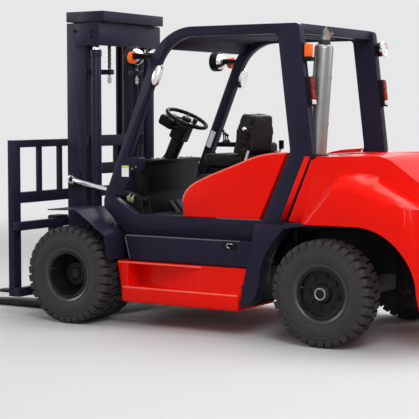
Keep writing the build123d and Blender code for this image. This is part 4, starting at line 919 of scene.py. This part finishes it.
def swell(s, node, name, up):
    copy = mergedCopy(node, name)
    low, high = (Vector(corner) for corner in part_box(node))
    middle = (low + high) / 2
    openMesh(copy)
    bpy.ops.transform.resize(value=(s["shrink"],) * 3, center_override=middle)
    closeMesh()
    applyModifier(copy, "REMESH", mode="VOXEL", voxel_size=s["voxel"])
    start = [vert.co.copy() for vert in copy.data.vertices]
    pick(copy)
    cloth = copy.modifiers.new("swell", "CLOTH")
    cloth.settings.use_pressure = True
    cloth.settings.uniform_pressure_force = s["pressure"]
    cloth.settings.effector_weights.gravity = 0
    cloth.settings.bending_stiffness = s["stiffness"]
    for step in range(s["frames"]):
        bpy.context.scene.frame_set(step + 1)
    bpy.ops.object.modifier_apply(modifier=cloth.name)
    bpy.context.scene.frame_set(1)
    past = s["past"]
    for vert, was in zip(copy.data.vertices, start):
        move = vert.co - was
        if move.length > s["cap"]:
            move *= s["cap"] / move.length
        vert.co = [min(max(c, a - past), b + past) for c, a, b in zip(was + move, low, high)]
    applyModifier(copy, "SMOOTH", factor=0.5, iterations=10)
    axis = Vector(up)
    for vert in copy.data.vertices:
        rise = (vert.co - middle).dot(axis) / (high - middle).dot(axis)
        for line in s["channels"]:
            dip = s["channelDepth"] * min(max(rise * 2, 0), 1)
            vert.co -= axis * dip * s["channelFall"] ** -(((vert.co.y - line) / s["channelWidth"]) ** 2)
    applyModifier(copy, "SUBSURF", levels=1, render_levels=1)
    dress(smooth(copy, 60), "seat_vinyl", nodeBodies[node], (node,))


swell(seatLook, "seat_cushion", "seatCushion", (0, 0, 1))
swell(seatLook, "seat_back", "seatBack", (1, 0, 0))
print("seat swelled")

# belt stalks with their buckles, recline knobs and the belt's guide

beltLook = {
    "stalk": ((-0.64, 0.272, 1.365), (-0.66, 0.276, 1.42), (-0.69, 0.28, 1.49)),
    "buckle": ((-0.714, 0.266, 1.485), (-0.674, 0.296, 1.56), 0.006, 3),
    "knob": ((0.244, 0.018), (0.262, 0.018), (0.268, 0.022), (0.284, 0.021), (0.288, 0.016)),
    "stalkRadius": 0.011,
    "knobSpot": (-0.64, 0, 1.445),
    "guide": ((0.24, 0.016), (0.262, 0.017), (0.27, 0.013), (0.272, 0.004)),
    "guideSpot": (-0.63, 0, 1.665),
}


def makeBelt(s):
    for side, word in sides:
        stalk = tube("beltStalk_" + word, onSide(s["stalk"], side), s["stalkRadius"])
        dress(stalk, "seat_vinyl", "hood", look="webbing")
        dress(block("beltBuckle_" + word, *sideBox(s["buckle"], side)), "black_plastic", "hood")
        knob = turn("reclineKnob_" + word, [(side * y, r) for y, r in s["knob"]], 28)
        dress(place(knob, s["knobSpot"]), "black_plastic", "hood")
    dress(place(turn("beltGuide", s["guide"], 24), s["guideSpot"]), "chrome", "hood")


makeBelt(beltLook)

# steering wheel: ribbed rim on three dished spokes, with a spinner knob

steerLook = {
    "centre": (0.1064, 0, 1.7472),
    "tilt": (0, -0.4636, 0),
    "ring": (0.185, 0.0175),
    "hub": ((-0.052, 0.036), (-0.02, 0.038), (-0.006, 0.044), (0.004, 0.044), (0.012, 0.036), (0.015, 0.02),
            (0.016, 0.004)),
    "knob": ((0.01, 0.009), (0.03, 0.009), (0.034, 0.018), (0.046, 0.023), (0.06, 0.023), (0.07, 0.017),
             (0.073, 0.006)),
    "grooves": (96, 4, -0.0014),
    "spoke": ((0.03, -0.015, -0.012), (0.177, 0.015, -0.001), 0.004, 3),
    "spokeTaper": (1, 0.72, 0.8),
    "taperFrom": 0.12,
    "taperAbout": (0.18, 0, 0),
    "spokeTurns": (180, 300, 420),
    "knobTurn": 2.5,
}


def makeSteering(s):
    dropSelection()
    major, minor = s["ring"]
    count, every, depth = s["grooves"]
    bpy.ops.mesh.primitive_torus_add(major_radius=major, minor_radius=minor, major_segments=count,
                                     minor_segments=14)
    ring = fresh("ring")
    selectWhere(ring, "VERT", lambda p: int(round(atan2(p.y, p.x) / (2 * pi / count))) % every == 0)
    bpy.ops.transform.shrink_fatten(value=depth)
    closeMesh()
    pieces = [ring]
    for angle in s["spokeTurns"]:
        spoke = block("spoke", *s["spoke"])
        selectWhere(spoke, "EDGE", lambda a, b: min(a.x, b.x) > s["taperFrom"])
        bpy.ops.transform.resize(value=s["spokeTaper"], center_override=s["taperAbout"])
        closeMesh()
        pieces.append(place(spoke, (0, 0, 0), (0, 0, radians(angle))))
    pieces.append(place(turn("hub", s["hub"], 40), (0, 0, 0), upright))
    spot = (major * cos(s["knobTurn"]), major * sin(s["knobTurn"]), 0)
    pieces.append(place(turn("knob", s["knob"], 28), spot, upright))
    wheel = place(smooth(joined(pieces, "steeringWheel"), 40), s["centre"], s["tilt"])
    dress(wheel, "black_plastic", "steering_wheel", ("steering_wheel",))


makeSteering(steerLook)
print("steering wheel and belt made")

# lamps: collars, domed lenses, ribbed indicators, a marker on its bracket and three-part tail lamps

lampLook = {
    "collar": ((0.064, 0.062), (0.064, 0.083), (0.07, 0.089), (0.128, 0.089), (0.134, 0.0862), (0.134, 0.079),
               (0.128, 0.0765), (0.112, 0.0765), (0.112, 0.086), (0.076, 0.08), (0.07, 0.062)),
    "bezel": ((0.112, 0.076), (0.112, 0.0868), (0.128, 0.089), (0.134, 0.0862), (0.134, 0.079),
              (0.128, 0.076)),
    "dome": ((0.1205, 0.077), (0.1265, 0.076), (0.1305, 0.06), (0.1325, 0.038), (0.1335, 0.012)),
    "front": (0.11, 0.68, 2.27),
    "indicator": (0.11, 0.805, 2.26),
    "work": (-1.432, 0.68, 2.346),
    "marker": ((-1.486, 0.655, 2.236), (-1.432, 0.713, 2.338), 0.01, 3),
    "markerBase": ((-1.5, 0.65, 2.204), (-1.404, 0.716, 2.236), 0.004, 2),
    "markerBack": ((-1.434, 0.652, 2.204), (-1.404, 0.716, 2.345), 0.004, 2),
    "ribbed": ((0.0, 0.039), (0.01, 0.039), (0.012, 0.0365), (0.018, 0.0378), (0.024, 0.036), (0.03, 0.0372),
               (0.036, 0.0352), (0.042, 0.0362), (0.048, 0.033), (0.055, 0.026), (0.058, 0.01)),
    "tail": (("red_lens", 0.024, 0.104), ("red_lens", -0.062, 0.02), ("clear_lens", -0.104, -0.066)),
    "amberStretch": (1, 1, 1.35),
    "workScale": 0.74,
    "workBack": (0.08, 0.076),
    "tailLens": (-0.03, 0.004, 0.026, 0.005, 3),
    "tailFrame": ((-0.018, -0.034, -0.116), (0.002, 0.034, 0.116), 0.004, 2),
    "tailSpot": (rearAxle + 0.163 + 0.125 * (1.968 - 1.474) / 1.031, 0.68, 1.968),
    "tailTilt": (0, atan2(0.1212, 1), 0),
}
forward = (0, 0, -pi / 2)
backward = (0, 0, pi / 2)


def makeLamps(s):
    lenses, ambers = [], []
    x, y, z = s["front"]
    for side, word in sides:
        collar = turn("headlampCollar_" + word, s["collar"], 56, looped=True)
        dress(place(collar, (x, side * y, z), forward), "black_plastic")
        lenses.append(place(turn("lens", s["dome"], 56), (x, side * y, z), forward))
        amber = turn("amber", s["ribbed"], 36)
        amber.scale = s["amberStretch"]
        ambers.append(place(amber, *onSide([s["indicator"]], side), forward))
    work, = onSide([s["work"]], -1)
    (lensBack, bezelBack), grow = s["workBack"], s["workScale"]
    lenses.append(place(turn("lens", [(d - lensBack, r * grow) for d, r in s["dome"]], 48), work, backward))
    bezel = turn("workLampBezel", [(d - bezelBack, r * grow) for d, r in s["bezel"]], 48, looped=True)
    dress(place(bezel, work, backward), "chrome")
    ambers.append(block("amber", *s["marker"]))
    bracket = [block("markerBracket", *s[name]) for name in ("markerBase", "markerBack")]
    dress(joined(bracket, "markerBracket"), "black_plastic")
    dress(joined(lenses, "lampLenses"), "clear_lens", replaced=("clear_lenses",))
    dress(joined(ambers, "amberLamps"), "amber_lens", replaced=("amber_lenses",))

    back, front, half, *edge = s["tailLens"]
    for side, word in sides:
        spot, = onSide([s["tailSpot"]], side)
        for index, (finishName, low, high) in enumerate(s["tail"]):
            lens = block("tailLens_%s_%d" % (word, index), (back, -half, low), (front, half, high), *edge)
            dress(place(lens, spot, s["tailTilt"]), finishName, replaced=("red_lenses",))
        surround = block("tailLampFrame_" + word, *s["tailFrame"])
        dress(place(surround, spot, s["tailTilt"]), "black_plastic")


makeLamps(lampLook)
print("lamps made")

# trim: red corner strips with a dark seam, beads in lighter paint as painted highlight lines, black sheets as
# painted shade around the rear wheel, gussets, locker latches, blank labels

trimLook = {
    "leg": ((-1.29, 0.94), (-1.515, 1.474)),
    "legFace": 0.717,
    "seam": (0.0, 0.014),
    "strip": (0.014, 0.062),
    "weightEdge": ((-1.43, -1.314, 0.9455), (-1.56, -1.518, 1.438)),
    "weightFace": (0.7, 0.7406),
    "archStrip": ((-1.362, 0.944), (-1.362, 0.898), (-1.42, 0.912), (-1.5, 0.923), (-1.6, 0.931),
                  (-1.69, 0.935), (-1.69, 0.944)),
    "archFace": (0.73, 0.888),
    # painted shade: black sheets over the step box's back, the deck's front skirt and the counterweight's
    # inner wall around the rear wheel, where those faces lie in shadow
    "shadeSheets": (
        ("tankLiner", ((-0.936, 0.235), (-0.942, 0.235), (-1.0138, 0.555), (-1.0078, 0.555)), (0.275, 0.7)),
        ("deckLiner", ((-1.29, 0.78), (-1.3285, 0.78), (-1.3285, 0.944), (-1.29, 0.944)), (0.2, 0.617)),
        ("wellLiner", ((-2.0435, 0.2785), (-2.36, 0.2785), (-2.36, 0.93), (-2.0435, 0.93)), (0.288, 0.294)),
    ),
    "lipBead": ((0.184, 0.879, 0.34), (-0.934, 0.879, 0.34)),
    "lockerFront": ((0.1955, 0.827, 0.76), (0.1475, 0.827, 0.574)),
    "cut": (0.95, 1.462),
    "ledge": ((0.186, 0.8255, 0.7725), (-0.925, 0.8255, 0.7725)),
    "stepBead": ((0.236, 0.868, 0.549), (-0.59, 0.868, 0.549)),
    "sillBead": ((-0.64, 0.713, 0.941), (-1.05, 0.713, 0.941)),
    "stepLip": ((-0.942, 0.864, 0.228), (0.192, 0.886, 0.347), 0.007, 3),
    "recess": ((-0.906, 0.812, 0.702), (-0.764, 0.8325, 0.77), 0.004, 2),
    "nearLabel": ((0.234, 0.715, 1.258), (0.306, 0.7185, 1.332), 0.001, 1),
    "nearStrip": ((0.234, 0.715, 1.3335), (0.306, 0.7185, 1.352), 0.001, 1),
    "gusset": ((0.378, 1.105), (0.33, 1.436), (0.25, 1.436), (0.222, 1.405), (0.222, 1.246), (0.3, 1.105)),
    "gussetFace": (0.704, 0.716),
    "beads": (("lockerBead", "ledge", 0.0055, "navy"), ("sillBead", "sillBead", 0.005, "navy"),
              ("crestBead", "crest", 0.009, "red"), ("stepBead", "stepBead", 0.007, "red"),
              ("lipBead", "lipBead", 0.009, "red"), ("lockerFront", "lockerFront", 0.0045, "navy")),
    "hook": ((-0.026, 0, 0.01), (-0.022, 0.012, 0.016), (0.022, 0.012, 0.016), (0.026, 0.01, -0.014),
             (0.004, 0, -0.02)),
    "farLabel": ((-0.026, -0.6425, -0.08), (0.026, -0.6395, 0.08), 0.001, 1),
    "hookRadius": 0.0055,
    "crestInset": (0.6995, 0.0065),
    "stripSpan": (0.006, 0.4),
    "stripEdge": (0.002, 2),
    "strips": (("legSeam", "seam", 0.0025, "black_plastic"), ("legStrip", "strip", 0.0055, "red_paint")),
    "farSpot": (0.252, 0, 1.553),
    "farTilt": (0, -0.391, 0),
}


def makeTrim(s):
    (x0, z0), (x1, z1) = s["leg"]
    lean = atan2(x1 - x0, z1 - z0)
    across, face, legMiddle = cos(lean), s["legFace"], ((x0 + x1) / 2, 0, (z0 + z1) / 2)
    panelY, panelZ = crestLook["side"]
    top = sorted({(round(v.co.x, 4), round(v.co.z, 4)) for v in nodes["side_panels"].data.vertices
                  if abs(v.co.y - panelY) < touch and v.co.z > panelZ}, reverse=True)
    crestY, under = s["crestInset"]
    runs = {**s, "crest": [(x, crestY, z - under) for x, z in top]}
    sunk, reach = s["stripSpan"]
    (backLow, frontLow, low), (backHigh, frontHigh, high) = s["weightEdge"]
    corners = ((frontLow, low), (frontHigh, high), (backHigh, high), (backLow, low))
    low, high = s["recess"][:2]
    hookX, hookY, hookZ = (low[0] + high[0]) / 2, high[1], (low[2] + high[2]) / 2
    plates = (("weightEdge", corners, s["weightFace"], "red_paint"),
              ("archStrip", s["archStrip"], s["archFace"], "navy_paint"),
              ("legGusset", s["gusset"], s["gussetFace"], "navy_paint"),
              *((*shadeSheet, "frame_paint") for shadeSheet in s["shadeSheets"]))
    for side, word in sides:
        for name, span, thick, finishName in s["strips"]:
            fore, aft = (edge * across for edge in s[span])
            box = onSide(((fore, face - sunk, -reach), (aft, face + thick, reach)), side)
            strip = place(block(name + "_" + word, *box, *s["stripEdge"]), legMiddle, (0, lean, 0))
            dress(trimmed(strip, *s["cut"]), finishName)
        # each bead takes the lighter paint of its colour, a painted highlight line
        for name, run, radius, colour in s["beads"]:
            bead = tube(name + "_" + word, onSide(runs[run], side), radius, False)
            dress(bead, colour + "_paint", look=colour + "Edge")
        for name, outline, faces, finishName in plates:
            dress(plate(name + "_" + word, outline, *faces, side), finishName)
        dress(block("stepLip_" + word, *sideBox(s["stepLip"], side)), "red_paint")
        dress(block("latchRecess_" + word, *sideBox(s["recess"], side)), "black_plastic")
        run = [(hookX + x, side * (hookY + y), hookZ + z) for x, y, z in s["hook"]]
        dress(tube("latchHook_" + word, run, s["hookRadius"]), "steel")
    for name, look in (("nearLabel", "label"), ("nearStrip", "labelTop")):
        dress(block(name, *s[name]), "navy_paint", look=look)
    far = place(block("farLabel", *s["farLabel"]), s["farSpot"], s["farTilt"])
    dress(far, "navy_paint", look="label")


makeTrim(trimLook)
print("trim fitted")

# cab controls: column shroud with stalks, lowered dash, switch pod, gauges, lever bank and boots

cabLook = {
    "shroud": ((-0.066, -0.07, 0.1), (0.07, 0.07, 0.256), 0.018, 4),
    "neck": ((0.03, 0.086), (0.04, 0.08), (0.11, 0.062), (0.13, 0.058)),
    "cluster": ((0.05, -0.115, 0.168), (0.205, 0.115, 0.262), 0.026, 4),
    "dashTop": 1.395,
    "dashFoot": 0.5,
    "dashRound": (0.03, 4),
    "dashSoft": 0.008,
    "columnFoot": (0.245, 0, 1.47),
    "columnTilt": (0, -0.4636, 0),
    "pod": ((0.27, 0.396, 1.285), (0.395, 0.5, 1.412), 0.014, 3),
    "podKnobs": ((0.5, 1.33, 0.305), (0.5, 1.315, 0.345)),
    "gauges": ((0.19, 0.042), (-0.19, 0.042), (0.28, 0.03), (-0.28, 0.03)),
    "bank": ((-0.215, -0.446, 1.492), (0.01, -0.334, 1.534), 0.012, 3),
    "bankLevers": ((-0.045, -0.424, 0.075), (-0.045, -0.39, 0.1), (-0.11, -0.356, 0.06)),
    "gaugeX": 0.262,
    "gaugeRim": ((0.0, 0.006), (0.0, 0.0), (0.008, 0.0), (0.011, 0.003), (0.008, 0.006)),
    "gaugeDial": ((-0.002, 0.004), (0.004, 0.005)),
    "gaugeMiddle": (0.0045, 0.004),
    "leverSunk": 0.005,
    "leverLean": 0.012,
    "bootSunk": 0.002,
    "stick": (0.005, 0.011),
    "lever": (0.006, 0.015),
    "neckDrop": 0.19,
    "signal": ((0.0, 0.05, 0.215), (-0.02, 0.19, 0.238)),
    "gear": ((0.0, -0.05, 0.2), (-0.02, -0.18, 0.228)),
    "ball": ((-0.6, 0.45), (-0.4, 0.85), (0.1, 1.0), (0.6, 0.85), (0.9, 0.5), (1.0, 0.12)),
    "podKnob": ((0.0, 0.008), (0.006, 0.0085), (0.01, 0.007), (0.011, 0.002)),
    "bankBoot": ((0.0, 0.02), (0.006, 0.019), (0.01, 0.014), (0.014, 0.015), (0.018, 0.01), (0.024, 0.008)),
    "boot": ((0.0, 0.0165), (0.008, 0.016), (0.012, 0.0125), (0.017, 0.013), (0.022, 0.0095)),
    "boots": ((-0.26, -0.424, 1.539), (-0.26, -0.39, 1.539), (-0.26, -0.356, 1.539)),
}


def makeStick(name, foot, head, radius, knob):
    stick = tube(name, [foot, [(a + b) / 2 for a, b in zip(foot, head)], head], radius)
    ball = turn("ball", [(y * knob, r * knob) for y, r in cabLook["ball"]], 24)
    return joined([stick, place(ball, head, upright)], name)


def makeCab(s):
    shroud = block("columnShroud", *s["shroud"])
    stalks = [makeStick(name, *s[name], *s["stick"]) for name in ("signal", "gear")]
    neck = turn("neck", [(y - s["neckDrop"], r) for y, r in s["neck"]] + list(s["neck"][2:]), 40)
    cluster = block("cluster", *s["cluster"])
    shell = [shroud, *stalks, place(neck, (0, 0, 0), upright), cluster]
    dress(place(joined(shell, "columnShroud"), s["columnFoot"], s["columnTilt"]), "black_plastic")

    dash = trimmed(mergedCopy("dash_cowl", "dashCowl"), s["dashFoot"], s["dashTop"])
    roundEdges(dash, lambda a, b: min(a.z, b.z) > s["dashTop"] - touch, *s["dashRound"])
    softEdges(dash, s["dashSoft"])
    dress(smooth(dash, 40), "black_plastic", replaced=("dash_cowl",))

    dress(block("switchPod", *s["pod"]), "navy_paint")
    knobs = [place(turn("podKnob", s["podKnob"], 20), (x, y, z)) for y, z, x in s["podKnobs"]]
    dress(joined(knobs, "podKnobs"), "steel")

    bezels, faces = [], []
    for y, size in s["gauges"]:
        spot = (s["gaugeX"], y, s["dashTop"] - touch)
        rim = [(level, size - inset) for level, inset in s["gaugeRim"]]
        dial = [(level, size - inset) for level, inset in s["gaugeDial"]]
        bezels.append(place(turn("bezel", rim, 36, looped=True), spot, upright))
        faces.append(place(turn("face", dial + [s["gaugeMiddle"]], 36), spot, upright))
    dress(joined(bezels, "gaugeBezels"), "steel")
    dress(joined(faces, "gaugeFaces"), "black_plastic", look="gaugeFace")

    pieces = [block("bank", *s["bank"])]
    top = s["bank"][1][2]
    for x, y, rise in s["bankLevers"]:
        head = (x + s["leverLean"], y, top + rise)
        pieces.append(makeStick("lever", (x, y, top - s["leverSunk"]), head, *s["lever"]))
        pieces.append(place(turn("boot", s["bankBoot"], 24), (x, y, top - s["bootSunk"]), upright))
    dress(joined(pieces, "leverBank"), "black_plastic", "hood")
    boots = [place(turn("boot", s["boot"], 24), spot, upright) for spot in s["boots"]]
    dress(joined(boots, "leverBoots"), "black_plastic", "hood")


makeCab(cabLook)
print("cab controls made")

# pipework: turned exhaust, chain anchor rods, glands, cream bands on the tilt barrels, tow-pin ring

pipeLook = {
    "stackFoot": (-1.451, 0.52, 1.46),
    "stackTilt": (pi / 2, radians(-4), 0),
    "stack": ((-0.008, 0.075), (0.45, 0.075), (0.85, 0.075), (0.862, 0.0727), (0.871, 0.0665), (0.878, 0.058),
              (0.88, 0.045), (0.905, 0.039)),
    "flange": ((0.0, 0.075), (0.0, 0.096), (0.012, 0.096), (0.016, 0.092), (0.02, 0.0755)),
    "clamp": ((-0.014, 0.0745), (-0.014, 0.0785), (0.014, 0.0785), (0.014, 0.0745)),
    "clampLevels": (0.26, 0.62),
    "sleeve": ((0.862, 0.0385), (0.862, 0.0455), (0.88, 0.05), (0.902, 0.048), (0.918, 0.042),
               (0.918, 0.0385)),
    "tailBend": (0.11, 50, 0.0393),
    "anchor": (0.7917, 0.215, 2.06, 2.2, 0.01),
    "gland": ((2.296, 0.0478), (2.296, 0.052), (2.345, 0.052), (2.356, 0.046), (2.356, 0.0312),
              (2.324, 0.0312), (2.324, 0.0478)),
    "creamBand": ((0.0, 0.0422), (0.0, 0.0436), (0.03, 0.0436), (0.03, 0.0422)),
    "barrelBase": (0.25, 0.5, 1.045),
    "barrelLean": atan2(0.16, 0.75),
    "towRing": (-2.527, 0.745, 0.005),
    "headPads": (((0.712, -0.478, 2.578), (0.738, 0.478, 2.594)),
                 ((0.738, 0.461, 2.578), (0.971, 0.479, 2.594)),
                 ((0.738, -0.479, 2.578), (0.971, -0.461, 2.594))),
    "tailFoot": (0.902, 0.008),
    "mouth": ((-0.004, 0.034), (0.0012, 0.034), (0.0012, 0.002)),
    "glandSpot": (0.795, 0.415, 0),
    "anchorNut": (0.019, 0.016, (0.02, 0.045), (0.002, 2)),
    "padEdge": (0.002, 1),
    "bandSpots": (0.06, 0.1),
    "towLoop": ((0, -0.02), (0.022, -0.004), (0.026, 0.02), (0, 0.038), (-0.026, 0.02), (-0.022, -0.004),
                (0, -0.02)),
}


def makeExhaust(s):
    firstClamp, lastClamp = s["clampLevels"]
    for name, profile, level, finishName in (("exhaustFlange", "flange", 0, "cast"),
                                             ("exhaustSleeve", "sleeve", 0, "cast"),
                                             ("exhaustClamp_0", "clamp", firstClamp, "silver_pipe"),
                                             ("exhaustClamp_1", "clamp", lastClamp, "silver_pipe")):
        ring = turn(name, [(y + level, r) for y, r in s[profile]], 56, looped=True)
        dress(place(ring, s["stackFoot"], s["stackTilt"]), finishName)
    stack = place(turn("exhaustStack", s["stack"], 72), s["stackFoot"], s["stackTilt"])
    dress(stack, "silver_pipe", replaced=("exhaust_stack",))
    lean = s["stackTilt"][1]
    along, back = Vector((sin(lean), 0, cos(lean))), Vector((-cos(lean), 0, sin(lean)))
    bend, sweep, radius = s["tailBend"]
    height, straight = s["tailFoot"]
    foot = Vector(s["stackFoot"]) + along * height
    turned = [radians(sweep) * k / 12 for k in range(13)]
    run = [foot] + [foot + along * (straight + bend * sin(a)) + back * bend * (1 - cos(a)) for a in turned]
    dress(tube("exhaustTail", run, radius, False), "silver_pipe", look="steel")
    mouth = place(turn("exhaustMouth", s["mouth"], 36), run[-1], (pi / 2, lean - radians(sweep), 0))
    dress(mouth, "silver_pipe", look="black_plastic")


def makePipes(s):
    x, y, low, high, rod = s["anchor"]
    nutRadius, nutDepth, nutLevels, nutEdge = s["anchorNut"]
    bx, by, bz = s["barrelBase"]
    lean = s["barrelLean"]
    for side, word in sides:
        gland = turn("liftGland_" + word, s["gland"], 40, looped=True)
        dress(place(gland, *onSide([s["glandSpot"]], side), upright), "navy_paint", "mast_outer")
        pieces = [tube("chainAnchor_" + word, [(x, side * y, low), (x, side * y, high)], rod, False, 3)]
        for level in nutLevels:
            dropSelection()
            bpy.ops.mesh.primitive_cylinder_add(vertices=6, radius=nutRadius, depth=nutDepth,
                                                location=(x, side * y, low + level))
            pieces.append(roundEdges(fresh("nut"), lambda a, b: abs(a.z - b.z) < touch, *nutEdge))
        dress(joined(pieces, "chainAnchor_" + word), "steel", "mast_outer")
        bands = [place(turn("band", s["creamBand"], 40, looped=True),
                       (bx + along * cos(lean), side * by, bz + along * sin(lean)), (0, -lean, -pi / 2))
                 for along in s["bandSpots"]]
        dress(joined(bands, "barrelBands_" + word), "frame_paint", "tilt_barrels", look="creamPaint")
    pads = [block("headPad", *box, *s["padEdge"]) for box in s["headPads"]]
    dress(joined(pads, "mastHeadPads"), "frame_paint", "mast_outer")
    tx, tz, radius = s["towRing"]
    dress(tube("towRing", [(tx, across, tz + rise) for across, rise in s["towLoop"]], radius), "steel")


makeExhaust(pipeLook)
makePipes(pipeLook)

# mirrors in silver shells and two more slats behind the roof's front beam

headLook = {
    "shell": (0.046, 0.05, 0.096),
    "spot": (-0.052, 0.7, 2.112),
    "slats": ((-0.165, 0, 2.437), (-0.25, 0, 2.452)),
    "slatHalf": (0.015, 0.642, 0.023),
    "slatEdge": (0.004, 2),
    "cutAt": -0.03,
    "rim": (0.004, 2),
    "turned": (-0.3, 0.35),
}


def makeHead(s):
    x, y, z = s["spot"]
    lean, toe = s["turned"]
    for side, word in sides:
        dropSelection()
        bpy.ops.mesh.primitive_uv_sphere_add(segments=40, ring_count=24, radius=1, scale=s["shell"])
        shell = fresh("mirrorShell_" + word)
        openMesh(shell)
        bpy.ops.mesh.bisect(plane_co=(s["cutAt"], 0, 0), plane_no=(-1, 0, 0), use_fill=True, clear_outer=True)
        closeMesh()
        roundEdges(shell, lambda a, b: max(a.x, b.x) < s["cutAt"] + touch / 10, *s["rim"])
        place(smooth(shell, 40), (x, side * y, z), (0, lean, side * toe))
        dress(shell, "mirror", replaced=("mirrors",))
    half = Vector(s["slatHalf"])
    slats = [block("roofSlat", spot - half, spot + half, *s["slatEdge"]) for spot in map(Vector, s["slats"])]
    dress(joined(slats, "roofSlats"), "navy_paint")


makeHead(headLook)

# deck lid with its grip, louvres ahead of it, ribbed mat on the cab floor

coverLook = {
    "lid": ((-1.985, -0.47, 1.452), (-1.625, 0.47, 1.467), 0.006, 3),
    "grip": ((-1.705, -0.075, 1.462), (-1.665, 0.075, 1.469), 0.003, 2),
    "louvres": ((-1.365, -1.395, -1.425, -1.455, -1.485, -1.515, -1.545), 0.008, 0.33, 1.452, 1.4625,
                (0.003, 2)),
    "mat": ((-0.33, -0.4, 0.926), (0.05, 0.4, 0.935), 0.003, 2),
    "ribs": (16, 0.004, 0.37, 0.933, 0.9385, (0.002, 1)),
}


def makeCovers(s):
    dress(block("deckLid", *s["lid"]), "red_paint")
    dress(block("lidGrip", *s["grip"]), "black_plastic")
    spots, half, reach, low, high, edge = s["louvres"]
    slots = [block("louvre", (x - half, -reach, low), (x + half, reach, high), *edge) for x in spots]
    dress(joined(slots, "deckLouvres"), "black_plastic")
    count, half, reach, low, high, edge = s["ribs"]
    start, end = s["mat"][0][0], s["mat"][1][0]
    spots = [start + (end - start) * (index + 0.5) / count for index in range(count)]
    ribs = [block("rib", (x - half, -reach, low), (x + half, reach, high), *edge) for x in spots]
    dress(joined([block("mat", *s["mat"])] + ribs, "cabMat"), "black_plastic")


makeCovers(coverLook)

# fasteners on both sides: size, way, body, slot and the near side's spots; no way means outward

boltLook = {
    "mastTop": (0.011, None, "mast_outer", "navy_paint",
                ((0.8, 0.485, 2.52), (0.98, 0.485, 2.52), (0.8, 0.485, 2.47))),
    "rest": (0.012, "+x", "carriage", "navy_paint", [(1.335, 0.955, z) for z in (0.3, 0.4, 0.72, 0.8)]),
    "fender": (0.008, None, "chassis", "navy_paint",
               ((-1.02, 0.89, 0.85), (-1.06, 0.89, 0.7), (-0.985, 0.89, 0.42))),
    "pillar": (0.01, None, "chassis", "navy_paint",
               [(x, 0.717, 0.86) for x in (-1.18, -1.22)] + [(x, 0.717, 0.85) for x in (0.4, 0.33)]),
    "grille": (0.008, "-x", "chassis", "frame_paint", [(-2.53, 0.312, z) for z in (0.79, 0.945, 1.1)]),
}


def fitBolts(s):
    for name, (size, way, body, slotName, spots) in s.items():
        rows = [(spot, way or side) for side, word in sides for spot in onSide(spots, side)]
        boltSet(name + "Bolts", rows, size, body, slotName)


fitBolts(boltLook)
print("pipes and fasteners fitted")
